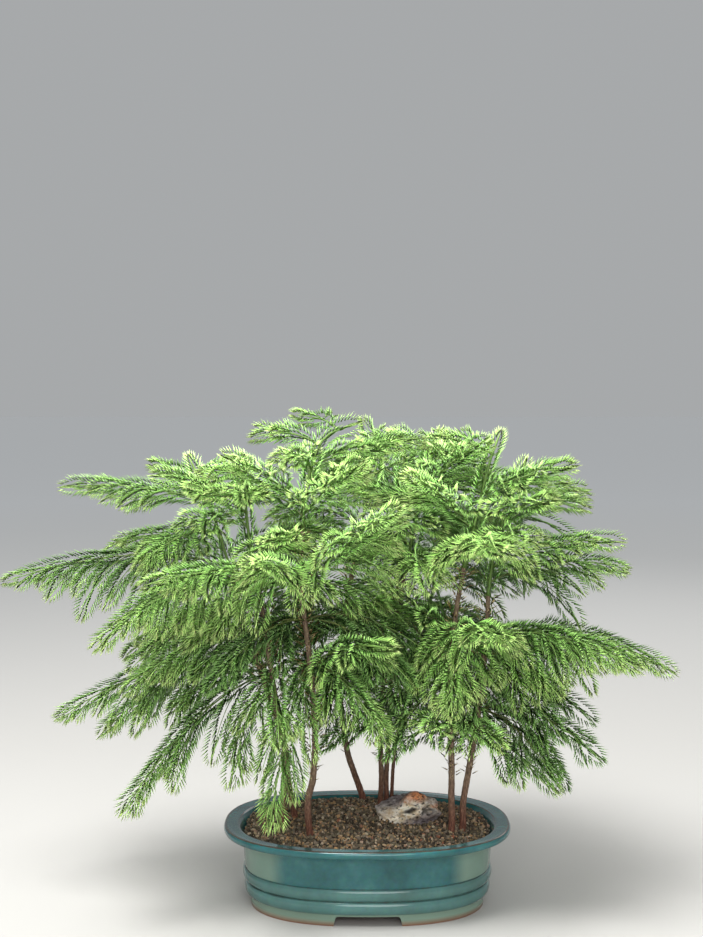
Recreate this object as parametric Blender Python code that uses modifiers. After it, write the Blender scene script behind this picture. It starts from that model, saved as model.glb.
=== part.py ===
"""A grove of nine young Norfolk Island pines in an oval glazed bonsai pot, with its soil and a rock.

Run it with: blender --background --python part.py
Units are metres and +Z is up. The front faces -Y. Everything is modelled about the middle of the pot's foot
plane, and the last step moves it all, so that the origin is the middle of the underside of the whole box.
"""

import math
import random

import bmesh
import bpy
from mathutils import Matrix, Vector, noise
from mathutils.geometry import intersect_point_line

MM = 0.001
UP = Vector((0, 0, 1))
GAP = 0.35 * MM  # between two pieces that touch
GROVE = "norfolk_island_pine_bonsai"

# The pot: a superellipse in plan, with a profile of (inset from the lip's outermost line, height).
POT_HALF_LENGTH = 140 * MM
POT_HALF_DEPTH = 108 * MM
POT_FULLNESS = 2.4
POT_SIDES = 28
FLOOR_UNDER, FLOOR_OVER = 11 * MM, 17 * MM
POT_INSIDE = [(34, 17), (26.5, 25), (25, 58), (19.5, 70), (15.2, 76.6)]
POT_LIP = [(3, 78), (0, 75), (1.6, 70.8), (16.4, 66.6)]
POT_BODY = [(18.7, 58), (20.2, 37.5)]
POT_BANDS = [(18.9, 31), (19.8, 26.5), (23, 24), (20.6, 20), (21.4, 13.8), (24.4, 10.8)]
POT_FOOT = [(25.8, 0), (33.5, 0), (34.5, 11)]
FOOT_CUT_HEIGHT = 9.5 * MM
FOOT_CUT_FRONT = (61 * MM, 64 * MM)  # width at the top and at the table
FOOT_CUT_END = (50 * MM, 53 * MM)
FOOT_CUT_UNDER = 5 * MM  # how far a cutter reaches below the table
DRAIN_RADIUS, DRAIN_PLACE, DRAIN_CUT = 6 * MM, 48 * MM, 30 * MM

# The soil: its edge against the pot, and its mound.
SOIL_EDGE = 21.2 * MM
SOIL_WALL = [(25.7, 57), (27.1, 25.3), (34.6, 17.4)]
SOIL_RIM_HEIGHT, SOIL_MOUND, SOIL_SLOPE = 71.5 * MM, 6 * MM, 0.035
SOIL_RINGS = (0.35, 0.65, 0.88)
SOIL_CREST = 60 * MM  # what lies above it belongs to the mound
SOIL_LUMP, SOIL_GRAIN = 1.3 * MM, 9 * MM

ROCK_MIDDLE = Vector((40, 2, 84)) * MM
ROCK_HALF = Vector((28.5, 18.5, 17.5)) * MM
ROCK_LUMP, ROCK_GRAIN = 0.3, 0.9
ROCK_LEDGE, ROCK_LEAN, ROCK_UNDER = 0.12, 0.22, -0.62  # the peak stands right of the middle

# Each tree: its trunk from the soil as far as it is brown, and then its green leader, in millimetres.
TREES = {
    "tree_1": (
        [(-83, -15, 73), (-80, -17, 123), (-80, -20, 151), (-89, -24, 207), (-104, -29, 312)],
        [(-111, -30, 346), (-116, -30, 390), (-118, -30, 430)],
    ),
    "tree_2": (
        [(-71, 14, 75), (-79, 18, 118), (-82, 20, 148), (-104, 25, 215), (-126, 30, 278), (-134, 32, 315)],
        [(-142, 34, 340), (-158, 38, 390), (-177, 40, 432)],
    ),
    "tree_3": (
        [
            (-55, -37, 74), (-57, -40, 107), (-52, -42, 130), (-50, -45, 175), (-55, -46, 245),
            (-63, -44, 317), (-61, -42, 366),
        ],
        [(-59, -40, 398), (-50, -38, 436), (-37, -36, 457), (-9, -32, 468)],
    ),
    "tree_4": (
        [
            (-3, 75, 75), (-13, 70, 107), (-20, 66, 131), (-26, 62, 176), (-28, 60, 210),
            (-22, 66, 270), (-12, 72, 330),
        ],
        [(-3, 78, 370), (5, 84, 400), (12, 88, 428)],
    ),
    "tree_5": (
        [(14, 54, 76), (15, 50, 107), (14, 44, 150), (16, 36, 200), (26, 28, 260), (38, 22, 320)],
        [(50, 16, 380), (61, 12, 425), (72, 10, 458)],
    ),
    "tree_6": (
        [(20.5, 66, 76), (20.5, 66, 110), (24, 70, 152), (25, 74, 192), (29, 82, 250), (33, 90, 310)],
        [(35, 98, 370), (38, 106, 415), (41, 110, 445)],
    ),
    "tree_7": (
        [(26, 79, 75), (29, 84, 120), (40, 94, 170), (54, 104, 220), (66, 112, 270)],
        [(74, 118, 310), (80, 122, 345), (84, 124, 375)],
    ),
    "tree_8": (
        [(81, -25, 73), (81, -26, 110), (81, -26, 141), (79, -28, 231), (85, -30, 290), (92, -31, 330)],
        [(104, -30, 380), (116, -28, 430), (126, -26, 458)],
    ),
    "tree_9": (
        [(92, -18, 73), (93, -19, 100), (99, -18, 136), (108, -16, 190), (115, -14, 265), (117, -10, 300)],
        [(124, -4, 345), (138, 0, 390), (154, 4, 430)],
    ),
}
TRUNK_RADIUS = {"tree_7": 2.3}  # at the soil, in millimetres
USUAL_TRUNK_RADIUS = 3.5
TRUNK_TAPER = 0.6
TRUNK_STEP, SHOOT_STEP = 6 * MM, 8 * MM  # between the points of a curve
ROOT_DEPTH, ROOT_INWARD = 28 * MM, 0.88  # the root runs down and towards the pot's middle

# Each whorl: its tree, its height, and each frond's tip and its arch above a straight line, in millimetres.
WHORLS = {
    "tree_1_low": ("tree_1", 225, [((-226, -95, 112), 46), ((-126, -105, 140), 38), ((-48, 106, 196), 30)]),
    "tree_2_low": ("tree_2", 235, [((-300, -10, 182), 34), ((-276, 95, 140), 44), ((-130, 150, 190), 34)]),
    "tree_3_low": ("tree_3", 240, [((-88, -145, 112), 58), ((20, -148, 272), 20), ((-30, 60, 225), 20)]),
    "tree_3_high": ("tree_3", 318, [((-196, -158, 330), 24), ((24, -166, 398), 6), ((-96, -176, 350), 14)]),
    "tree_4_low": ("tree_4", 205, [((-100, 190, 190), 30), ((28, -28, 170), 26)]),
    "tree_5_low": ("tree_5", 235, [((30, -116, 214), 26)]),
    "tree_6_low": ("tree_6", 228, [((70, 210, 178), 34), ((-30, 215, 250), 24)]),
    "tree_7_low": ("tree_7", 215, [((170, 130, 160), 34), ((130, 200, 240), 20)]),
    "tree_8_low": ("tree_8", 172, [((54, -128, 196), 18), ((118, -134, 182), 24), ((30, 0, 150), 16)]),
    "tree_8_high": ("tree_8", 262, [((118, -165, 282), 20), ((5, -60, 320), 10), ((66, 60, 290), 18)]),
    "tree_9_low": ("tree_9", 190, [((214, -92, 160), 36), ((196, 6, 108), 50)]),
    "tree_9_high": ("tree_9", 258, [((298, -2, 224), 42), ((244, -112, 248), 30), ((215, 118, 218), 30)]),
    "tree_1_mid": ("tree_1", 272, []),
    "tree_2_mid": ("tree_2", 278, []),
    "tree_3_mid": ("tree_3", 280, []),
    "tree_4_mid": ("tree_4", 262, []),
    "tree_5_mid": ("tree_5", 280, []),
    "tree_6_mid": ("tree_6", 272, []),
    "tree_7_mid": ("tree_7", 250, []),
    "tree_8_mid": ("tree_8", 216, []),
    "tree_9_mid": ("tree_9", 224, []),
}
# Each leader: its fronds, with the share of the leader's length where each leaves it.
LEADERS = {
    "tree_1_top": ("tree_1", [
        (0.1, (-240, -150, 275), 40), (0.2, (-66, -132, 372), 10), (0.6, (-196, -70, 420), 14),
    ]),
    "tree_2_top": ("tree_2", [
        (0.08, (-353, 6, 312), 34), (0.2, (-268, 140, 330), 30), (0.35, (-215, -62, 334), 24),
        (0.6, (-297, 16, 404), 16), (0.75, (-222, 110, 420), 8),
    ]),
    "tree_3_top": ("tree_3", [
        (0.12, (-6, -132, 436), 10), (0.2, (-130, -96, 440), 8), (0.4, (-62, 40, 440), 10),
        (0.5, (50, -58, 452), 8),
    ]),
    "tree_4_top": ("tree_4", [
        (0.1, (-104, 178, 338), 26), (0.3, (-70, 108, 424), 8), (0.45, (46, 196, 404), 12),
    ]),
    "tree_5_top": ("tree_5", [
        (0.1, (54, -120, 322), 24), (0.3, (146, 60, 370), 20), (0.6, (110, -66, 454), 6),
    ]),
    "tree_6_top": ("tree_6", [
        (0.1, (20, 232, 320), 26), (0.5, (-34, 150, 440), 6), (0.6, (110, 172, 440), 6),
    ]),
    "tree_7_top": ("tree_7", [(0.2, (206, 150, 300), 24), (0.4, (130, 232, 352), 14)]),
    "tree_8_top": ("tree_8", [
        (0.1, (112, -172, 360), 18), (0.3, (38, -112, 424), 8), (0.55, (186, -96, 430), 8),
    ]),
    "tree_9_top": ("tree_9", [
        (0.1, (262, 62, 318), 26), (0.2, (238, -44, 356), 22), (0.5, (226, 100, 396), 14),
        (0.55, (160, -100, 398), 12),
    ]),
}

# Further fronds that fill each whorl and leader all round: how many, and how far they reach in millimetres.
INNER = {
    "tree_1_low": (2, 120), "tree_1_mid": (6, 128), "tree_1_top": (5, 96),
    "tree_2_low": (2, 120), "tree_2_mid": (6, 128), "tree_2_top": (4, 92),
    "tree_3_low": (2, 115), "tree_3_mid": (6, 122), "tree_3_high": (3, 110), "tree_3_top": (5, 84),
    "tree_4_low": (3, 110), "tree_4_mid": (6, 122), "tree_4_top": (5, 96),
    "tree_5_low": (4, 115), "tree_5_mid": (6, 122), "tree_5_top": (6, 96),
    "tree_6_low": (3, 115), "tree_6_mid": (6, 122), "tree_6_top": (6, 96),
    "tree_7_low": (3, 110), "tree_7_mid": (5, 106), "tree_7_top": (4, 86),
    "tree_8_low": (2, 105), "tree_8_mid": (6, 122), "tree_8_high": (3, 115), "tree_8_top": (5, 96),
    "tree_9_low": (3, 115), "tree_9_mid": (5, 122), "tree_9_high": (2, 115), "tree_9_top": (4, 96),
}
INNER_SHARES = (0.1, 0.84)  # where the lowest and the highest of a leader's further fronds leave it
INNER_TAPER = (1.25, 0.72)  # how the reach of a leader's further fronds changes between those two
INNER_FALL, INNER_RISE, INNER_ARCH = 0.4, 0.12, 0.26  # in shares of their reach
INNER_WOBBLE, INNER_STRETCH = 0.15, (0.85, 1.1)  # the spread of their headings and of their reach

# A shoot: a slim three-sided core with needles in bands along it.
NEEDLE_FORWARD, NEEDLE_OUT = 11.5 * MM, 8 * MM
BAND, SHOOT_TIP = 3 * MM, 8 * MM
# Where a shoot's first band may begin, and how long it is bare between its bands.
SHOOT_BANDS, LEADER_BANDS = (15 * MM, 49 * MM), (10 * MM, 20 * MM)
LEADER_WIDTH, FROND_WIDTH, LATERAL_WIDTH = 2.3 * MM, 1.6 * MM, 1.3 * MM
TIP_SHARE = 0.6  # how wide a shoot still is at its last band
# Side shoots: where they leave a frond, how they lean and how long they are.
LATERAL_FIRST, LATERAL_STEP, LATERAL_LAST = 18 * MM, 11.5 * MM, 16 * MM
LATERAL_KEPT, LATERAL_OFFSET = 7, 1  # the solid keeps one side shoot in seven, left and right in turn
LATERAL_LEAN, LATERAL_CLOSE = (math.radians(36), math.radians(50)), 0.45  # closer where a frond hangs
LATERAL_SHARE, LATERAL_STRETCH = 0.62, (0.8, 1.12)  # of what is left of the frond, and its spread
LATERAL_LEAST, LATERAL_MOST = 24 * MM, 92 * MM
LATERAL_ROLL, LATERAL_LIFT = (-0.3, 0.4), 0.3  # how its root turns down or up, and how much more high up
HANG_HEIGHTS, HANG_STEPS = (170 * MM, 370 * MM), (0.13, 0.02)  # the low ones bend down more at each step
# Room between shoots of two pieces, and between a shoot and a trunk.
SHOOT_ROOM, TRUNK_ROOM, SIBLING_ROOM, WHORL_ROOM = 19 * MM, 14.5 * MM, 11 * MM, 27 * MM
FREE_NEAR_STEM = 24 * MM
TURNS = (0, 7, -7, 14, -14, 21, -21, 28, -28)
INNER_TURNS = (0, 9, -9, 18, -18, 27, -27, 36, -36, 48, -48, 60, -60)
INNER_CUTS = (1, 0.84, 0.68)
LIFTS = (0, 12, -12, 24)
COLLAR_HEIGHT, COLLAR_WALL = 5 * MM, 1.9 * MM

GLAZE, CLAY = ("glazed stoneware", "2f7470", 0.2), ("soil grains", "5a4a3c", 0.95)
STONE, BARK = ("weathered stone", "a98a66", 0.9), ("bark", "6b4630", 0.85)
GREEN = ("needles", "6fa83a", 0.6)


def material(finish):
    """The Principled material of this finish, made once."""
    name, colour, roughness = finish
    made = bpy.data.materials.get(name)
    if made is None:
        made = bpy.data.materials.new(name)
        made.use_nodes = True
        shader = made.node_tree.nodes["Principled BSDF"]
        channels = [(int(colour[i : i + 2], 16) / 255) ** 2.2 for i in (0, 2, 4)]
        shader.inputs["Base Color"].default_value = (*channels, 1)
        shader.inputs["Roughness"].default_value = roughness
        shader.inputs["Metallic"].default_value = 0
    return made


def collection(name):
    made = bpy.data.collections.new(name)
    bpy.context.scene.collection.children.link(made)
    return made


def add_object(name, shape, group, finish=None):
    """Puts a bmesh into a new object of this collection."""
    mesh = bpy.data.meshes.new(name)
    shape.to_mesh(mesh)
    shape.free()
    made = bpy.data.objects.new(name, mesh)
    group.objects.link(made)
    if finish:
        mesh.materials.append(material(finish))
    return made


def hide(cutter):
    cutter.hide_render = True
    cutter.display_type = "WIRE"


def settle(made):
    """Replaces an object's mesh by its evaluated one, and clears its modifiers."""
    bpy.context.view_layer.update()
    graph = bpy.context.evaluated_depsgraph_get()
    mesh = bpy.data.meshes.new_from_object(made.evaluated_get(graph))
    made.modifiers.clear()
    made.data = mesh
    return made


def combine(made, operation, others):
    """Applies one Boolean with a collection that holds these objects, and removes them."""
    group = collection("joined")
    for other in others:
        for holder in list(other.users_collection):
            holder.objects.unlink(other)
        group.objects.link(other)
        hide(other)
    boolean = made.modifiers.new("join", "BOOLEAN")
    boolean.operation = operation
    boolean.operand_type = "COLLECTION"
    boolean.collection = group
    boolean.solver = "EXACT"
    settle(made)
    for other in list(group.objects):
        bpy.data.objects.remove(other)
    bpy.data.collections.remove(group)
    return made


# Curves in space


def curve_points(corners, step):
    """Points about one step apart on a smooth curve through the corners."""
    ends = [2 * corners[0] - corners[1], *corners, 2 * corners[-1] - corners[-2]]
    points = []
    for before, start, stop, after in zip(ends, ends[1:], ends[2:], ends[3:]):
        parts = max(1, round((stop - start).length / step))
        for part in range(parts):
            u = part / parts
            points.append(
                0.5
                * (
                    2 * start
                    + (stop - before) * u
                    + (2 * before - 5 * start + 4 * stop - after) * u * u
                    + (3 * start - before - 3 * stop + after) * u * u * u
                )
            )
    return [*points, corners[-1].copy()]


def lengths_of(points):
    """How far along the curve each of its points lies."""
    along = [0.0]
    for start, stop in zip(points, points[1:]):
        along.append(along[-1] + (stop - start).length)
    return along


def place_on(points, along, distance):
    """The place and direction at this distance along the curve."""
    last = len(points) - 1
    index = next((number for number in range(1, last) if distance <= along[number]), last)
    run = along[index] - along[index - 1]
    heading = (points[index] - points[index - 1]).normalized()
    return points[index - 1] + heading * min(distance - along[index - 1], run), heading


# The pot, the soil and the rock


def oval(angle, inset):
    """The pot's plan at this angle, a given inset in from the lip's outermost line."""
    power = 2 / POT_FULLNESS
    across, deep = math.cos(angle), math.sin(angle)
    x = math.copysign(abs(across) ** power, across) * (POT_HALF_LENGTH - inset)
    y = math.copysign(abs(deep) ** power, deep) * (POT_HALF_DEPTH - inset)
    return x, y


def turned_oval(name, profile, group, finish):
    """A profile of (inset, height) turned on a wheel and then pressed to the pot's oval plan."""
    mesh = bpy.data.meshes.new(name)
    corners = [(POT_HALF_LENGTH - inset, 0, height) for inset, height in profile]
    mesh.from_pydata(corners, [(i, i + 1) for i in range(len(corners) - 1)], [])
    made = bpy.data.objects.new(name, mesh)
    group.objects.link(made)
    screw = made.modifiers.new("turn", "SCREW")
    screw.steps = screw.render_steps = POT_SIDES
    screw.use_merge_vertices = True
    screw.merge_threshold = 0.05 * MM
    settle(made)
    for vertex in made.data.vertices:
        radius = math.hypot(vertex.co.x, vertex.co.y)
        if radius > MM:
            angle = math.atan2(vertex.co.y, vertex.co.x)
            vertex.co.x, vertex.co.y = oval(angle, POT_HALF_LENGTH - radius)
    made.data.materials.append(material(finish))
    return made


def foot_cutter(widths, length, turned):
    """A long bar under the pot, wider at the table, that leaves two feet on each side of it."""
    shape = bmesh.new()
    bmesh.ops.create_cube(shape, size=1)
    top, bottom = widths
    for corner in shape.verts:
        over = corner.co.z > 0
        corner.co.x = math.copysign((top if over else bottom) / 2, corner.co.x)
        corner.co.y = math.copysign(length / 2, corner.co.y)
        corner.co.z = FOOT_CUT_HEIGHT if over else -FOOT_CUT_UNDER
    if turned:
        bmesh.ops.rotate(shape, verts=shape.verts, matrix=Matrix.Rotation(math.pi / 2, 3, "Z"))
    return add_object("foot_cut", shape, bpy.context.scene.collection)


def drain_cutter(x):
    shape = bmesh.new()
    bmesh.ops.create_cone(
        shape, cap_ends=True, segments=8, radius1=DRAIN_RADIUS, radius2=DRAIN_RADIUS,
        depth=DRAIN_CUT, matrix=Matrix.Translation((x, 0, FLOOR_OVER)),
    )
    return add_object("drain", shape, bpy.context.scene.collection)


def make_pot(group):
    centre = POT_HALF_LENGTH
    rings = [(a * MM, b * MM) for a, b in POT_INSIDE + POT_LIP + POT_BODY + POT_BANDS + POT_FOOT]
    profile = [(centre, FLOOR_OVER), *rings, (centre, FLOOR_UNDER)]
    pot = turned_oval("pot", profile, group, GLAZE)
    cutters = [
        foot_cutter(FOOT_CUT_FRONT, 3 * POT_HALF_DEPTH, turned=False),
        foot_cutter(FOOT_CUT_END, 3 * POT_HALF_LENGTH, turned=True),
        drain_cutter(-DRAIN_PLACE),
        drain_cutter(DRAIN_PLACE),
    ]
    return combine(pot, "DIFFERENCE", cutters)


def soil_share(x, y):
    """0 in the middle of the pot and 1 at the soil's edge."""
    across = abs(x) / (POT_HALF_LENGTH - SOIL_EDGE)
    deep = abs(y) / (POT_HALF_DEPTH - SOIL_EDGE)
    return (across**POT_FULLNESS + deep**POT_FULLNESS) ** (1 / POT_FULLNESS)


def soil_height(x, y):
    return SOIL_RIM_HEIGHT + SOIL_MOUND * (1 - soil_share(x, y) ** 2) + SOIL_SLOPE * y


def make_soil(group):
    centre = POT_HALF_LENGTH
    wide = POT_HALF_LENGTH - SOIL_EDGE
    crown = [(centre, SOIL_RIM_HEIGHT)]
    crown += [(centre - share * wide, SOIL_RIM_HEIGHT) for share in SOIL_RINGS]
    crown.append((SOIL_EDGE, SOIL_RIM_HEIGHT))
    wall = [(inset * MM, height * MM) for inset, height in SOIL_WALL]
    soil = turned_oval("soil", [*crown, *wall, (centre, wall[-1][1])], group, CLAY)
    for vertex in soil.data.vertices:
        place = vertex.co
        if place.z > SOIL_CREST:
            share = soil_share(place.x, place.y)
            lump = SOIL_LUMP * noise.noise(place / SOIL_GRAIN) * (share < 0.99)
            place.z = soil_height(place.x, place.y) + lump
    return soil


def make_rock(group):
    """A lump of weathered stone, drawn out of a ball by folded noise, with a ledge across its front."""
    shape = bmesh.new()
    bmesh.ops.create_icosphere(shape, subdivisions=3, radius=1)
    for vertex in shape.verts:
        way = vertex.co.normalized()
        lump = noise.fractal(way * ROCK_GRAIN + Vector((3.1, 0.4, 1.7)), 0.9, 2.1, 3)
        ledge = ROCK_LEDGE * math.sin(7 * way.z + 2 * way.x) * max(0, -way.y)
        size = 1 + ROCK_LUMP * lump + ledge
        height = max(way.z * size + ROCK_LEAN * way.x, ROCK_UNDER)
        vertex.co = Vector((way.x * size, way.y * size, height))
        vertex.co = Vector(a * b for a, b in zip(vertex.co, ROCK_HALF)) + ROCK_MIDDLE
    return add_object("rock", shape, group, STONE)


def sink_rock(soil, rock):
    """Presses the rock's print into the soil, a hair larger than the rock."""
    shape = bmesh.new()
    shape.from_mesh(rock.data)
    grown = [vertex.co + vertex.normal * 2 * GAP for vertex in shape.verts]
    for vertex, place in zip(shape.verts, grown):
        vertex.co = place
    print_cutter = add_object("rock_print", shape, bpy.context.scene.collection)
    combine(soil, "DIFFERENCE", [print_cutter])


# Trunks


def trunk_corners(tree):
    corners = [Vector(corner) * MM for corner in TREES[tree][0]]
    foot = corners[0]
    root = Vector((foot.x * ROOT_INWARD, foot.y * ROOT_INWARD, foot.z - ROOT_DEPTH))
    return [root, *corners]


def trunk_width(tree, share):
    """The trunk's radius at this share of its length."""
    radius = TRUNK_RADIUS.get(tree, USUAL_TRUNK_RADIUS) * MM
    return radius * (1 - (1 - TRUNK_TAPER) * share)


def tube(name, points, radii, group):
    """A six-sided tube with closed ends, from a curve with a bevel."""
    curve = bpy.data.curves.new(name, "CURVE")
    curve.dimensions = "3D"
    curve.bevel_depth = 1
    curve.bevel_resolution = 1
    curve.use_fill_caps = True
    spline = curve.splines.new("POLY")
    spline.points.add(len(points) - 1)
    for place, corner, radius in zip(spline.points, points, radii):
        place.co = (*corner, 1)
        place.radius = radius
    guide = bpy.data.objects.new(name + "_line", curve)
    group.objects.link(guide)
    bpy.context.view_layer.update()
    graph = bpy.context.evaluated_depsgraph_get()
    mesh = bpy.data.meshes.new_from_object(guide.evaluated_get(graph))
    bpy.data.objects.remove(guide)
    shape = bmesh.new()
    shape.from_mesh(mesh)
    bmesh.ops.remove_doubles(shape, verts=shape.verts, dist=0.01 * MM)
    bmesh.ops.recalc_face_normals(shape, faces=shape.faces)
    return add_object(name, shape, group)


def trunk_tube(name, tree, group, room=0.0):
    """The trunk as a tube, or with room the bore that it stands in."""
    points = trunk_corners(tree)
    along = lengths_of(points)
    grow = room / math.cos(math.pi / 6)
    radii = [trunk_width(tree, distance / along[-1]) + grow for distance in along]
    if room:
        points[0] = points[0] - Vector((0, 0, room))
    return tube(name, points, radii, group)


def make_trunk(tree, group):
    trunk = trunk_tube(tree + "_trunk", tree, group)
    trunk.data.materials.append(material(BARK))
    return trunk


# Shoots


def frond_line(start, tip, arch):
    """A frond's line: it leaves the stem rising, and its end hangs."""
    middle = start.lerp(tip, 0.45) + Vector((0, 0, arch * MM))
    parts = max(4, round((tip - start).length / SHOOT_STEP))
    return [
        start.lerp(middle, part / parts).lerp(middle.lerp(tip, part / parts), part / parts)
        for part in range(parts + 1)
    ]


def lateral_lines(line, seed):
    """The side shoots of a frond, left and right in turn, shorter towards its tip. The low ones hang."""
    draw = random.Random(seed)
    along = lengths_of(line)
    lines = []
    for index in range(int((along[-1] - LATERAL_FIRST - LATERAL_LAST) / LATERAL_STEP) + 1):
        lean, stretch = draw.uniform(*LATERAL_LEAN), draw.uniform(*LATERAL_STRETCH)
        roll = draw.uniform(*LATERAL_ROLL)
        if index % LATERAL_KEPT != LATERAL_OFFSET:
            continue
        distance = LATERAL_FIRST + index * LATERAL_STEP
        root, heading = place_on(line, along, distance)
        low, high = HANG_HEIGHTS
        share = min(max((root.z - low) / (high - low), 0), 1)
        roll += LATERAL_LIFT * share
        lean *= 1 - LATERAL_CLOSE * max(0, -heading.z)
        hand = -1 if index % 2 else 1
        side = heading.cross(UP)
        side = (side.normalized() if side.length > 0.1 else Vector((1, 0, 0))) * hand
        side = side * math.cos(roll) + side.cross(heading) * math.sin(roll) * hand
        way = heading * math.cos(lean) + side * math.sin(lean)
        length = LATERAL_SHARE * (along[-1] - distance) * stretch
        length = min(max(length, LATERAL_LEAST), LATERAL_MOST)
        parts = max(3, round(length / SHOOT_STEP))
        hang = UP * (HANG_STEPS[0] + (HANG_STEPS[1] - HANG_STEPS[0]) * share)
        points = [root]
        for _ in range(parts):
            way = (way - hang).normalized()
            points.append(points[-1] + way * length / parts)
        lines.append(points)
    return lines


def stations_on(line, spacing):
    """How far along a shoot its root lies, and both ends of each of its bands, spaced from its tip."""
    first, bare = spacing
    last = lengths_of(line)[-1] - SHOOT_TIP - BAND
    count = 1 + max(0, int((last - first) / (BAND + bare)))
    starts = [last - number * (BAND + bare) for number in reversed(range(count))]
    return [0.0, *(distance for start in starts for distance in (start, start + BAND))]


def core_of(line, spacing=SHOOT_BANDS):
    """The corners of a shoot's core, which is straight from each station to the next."""
    along = lengths_of(line)
    return [*(place_on(line, along, distance)[0] for distance in stations_on(line, spacing)), line[-1]]


def rooted(line, core):
    """The line with its root moved onto the core that carries it."""
    nearest = []
    for start, stop in zip(core, core[1:]):
        _, share = intersect_point_line(line[0], start, stop)
        nearest.append(start.lerp(stop, min(max(share, 0), 1)))
    return [min(nearest, key=lambda place: (place - line[0]).length), *line[1:]]


def shoot_mesh(name, line, width, group, spacing=SHOOT_BANDS, twist=0.0):
    """A three-sided core drawn along the line, with three needles raised from each of its short bands."""
    along = lengths_of(line)
    stations = stations_on(line, spacing)
    shape = bmesh.new()
    place, heading = place_on(line, along, 0)
    turn = UP.rotation_difference(heading).to_matrix()
    bmesh.ops.create_circle(
        shape, cap_ends=True, segments=3, radius=width,
        matrix=Matrix.Translation(place) @ turn.to_4x4() @ Matrix.Rotation(twist, 4, "Z"),
    )
    cap = shape.faces[:][0]
    if cap.normal.dot(heading) < 0:
        bmesh.ops.reverse_faces(shape, faces=[cap])
    bands = []
    for number, distance in enumerate(stations[1:], 1):
        cap = bmesh.ops.extrude_discrete_faces(shape, faces=[cap])["faces"][0]
        new_place, new_heading = place_on(line, along, distance)
        bend = heading.rotation_difference(new_heading).to_matrix()
        thin = 1 - (1 - TIP_SHARE) * distance / along[-1]
        for corner in cap.verts:
            arm = bend @ (corner.co - place)
            corner.co = new_place + arm.normalized() * width * thin
        if number % 2 == 0:
            bands += [
                face for edge in cap.edges for face in edge.link_faces if face is not cap
            ]
        place, heading = new_place, new_heading
    raised = bmesh.ops.poke(shape, faces=[cap])
    raised["verts"][0].co = line[-1]
    for face in bands:
        face.normal_update()
        middle, out = face.calc_center_median(), face.normal.copy()
        near = closest_heading(line, along, middle)
        needle = bmesh.ops.poke(shape, faces=[face])["verts"][0]
        needle.co = middle + out * NEEDLE_OUT + near * NEEDLE_FORWARD
    bmesh.ops.holes_fill(shape, edges=shape.edges, sides=3)
    bmesh.ops.recalc_face_normals(shape, faces=shape.faces)
    return add_object(name, shape, group)


def closest_heading(line, along, place):
    """The curve's direction where it passes nearest to this place."""
    index = min(range(len(line)), key=lambda i: (line[i] - place).length_squared)
    return place_on(line, along, along[index])[1]


class Room:
    """Keeps the places that shoots and trunks already fill, so that no two pieces cross."""

    def __init__(self):
        self.taken = []

    def fill(self, piece, frond, line, room):
        self.taken += [(piece, frond, point, room) for point in line]

    def is_free(self, piece, frond, line, stem):
        """True where this line keeps its room from other pieces, and from other fronds of its own."""
        own_tree = piece.rsplit("_", 1)[0]
        for point in line:
            near_stem = (point - stem).length < FREE_NEAR_STEM
            for other, owner, place, room in self.taken:
                if owner == frond or (near_stem and other.startswith(own_tree)):
                    continue
                least = SIBLING_ROOM if other == piece else room
                if abs(point.x - place.x) < least and (point - place).length < least:
                    return False
        return True


def clear_frond(room, piece, frond, start, tip, arch, turns=TURNS, shares=(1,)):
    """The frond's line, turned about its stem, lifted or shortened where it would cross another piece."""
    for share in shares:
        for lift in LIFTS:
            for turn in turns:
                arm = Matrix.Rotation(math.radians(turn), 3, "Z") @ (tip - start) * share
                line = frond_line(start, start + arm + Vector((0, 0, lift * MM)), arch)
                if room.is_free(piece, frond, line, start):
                    return line
    return None


def clear_lateral(room, piece, frond, line, stem):
    """A side shoot, shortened where it would cross another piece, or None."""
    while lengths_of(line)[-1] >= LATERAL_LEAST:
        if room.is_free(piece, frond, line[1:], stem):
            return line
        line = line[:-1]
    return None


def plan_fronds(room, piece, places):
    """The lines of every frond of one piece."""
    planned = []
    for number, (start, tip, arch) in enumerate(places, 1):
        frond = f"{piece}_{number}"
        line = clear_frond(room, piece, frond, start, Vector(tip) * MM, arch)
        if line:
            planned.append((frond, line))
            room.fill(piece, frond, line, SHOOT_ROOM)
    return planned


def whorl_stem(tree, height):
    """The trunk's middle at this height."""
    points = curve_points(trunk_corners(tree)[1:], TRUNK_STEP)
    return min(points, key=lambda point: abs(point.z - height * MM))


def plan_laterals(room, piece, planned):
    """Adds the side shoots, once every frond has its place. The crown hides those of its further fronds."""
    leader = core_of(leader_line(LEADERS[piece][0]), LEADER_BANDS) if piece in LEADERS else None
    shoots = []
    for frond, line in planned:
        stem = rooted(line, leader) if leader else line
        shoots.append((frond, stem, FROND_WIDTH))
        sides = [] if "_inner_" in frond else lateral_lines(line, frond)
        for number, side in enumerate(sides, 1):
            kept = clear_lateral(room, piece, frond, side, line[0])
            if kept:
                shoots.append((f"{frond}_{number}", rooted(kept, core_of(stem)), LATERAL_WIDTH))
                room.fill(piece, frond, kept[1:], SHOOT_ROOM)
    return shoots


def whorl_places(tree, height, fronds):
    """Where a whorl's fronds leave the trunk."""
    stem = whorl_stem(tree, height)
    return [(stem, tip, arch) for tip, arch in fronds]


def leader_line(tree):
    brown, green = TREES[tree]
    points = [Vector(corner) * MM for corner in brown[-2:] + green]
    line = curve_points(points, SHOOT_STEP)
    first = min(range(len(line)), key=lambda i: (line[i] - points[1]).length_squared)
    return line[first:]


def leader_places(tree, fronds):
    """Where a leader's fronds leave it."""
    line = leader_line(tree)
    along = lengths_of(line)
    return [(place_on(line, along, share * along[-1])[0], tip, arch) for share, tip, arch in fronds]


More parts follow.
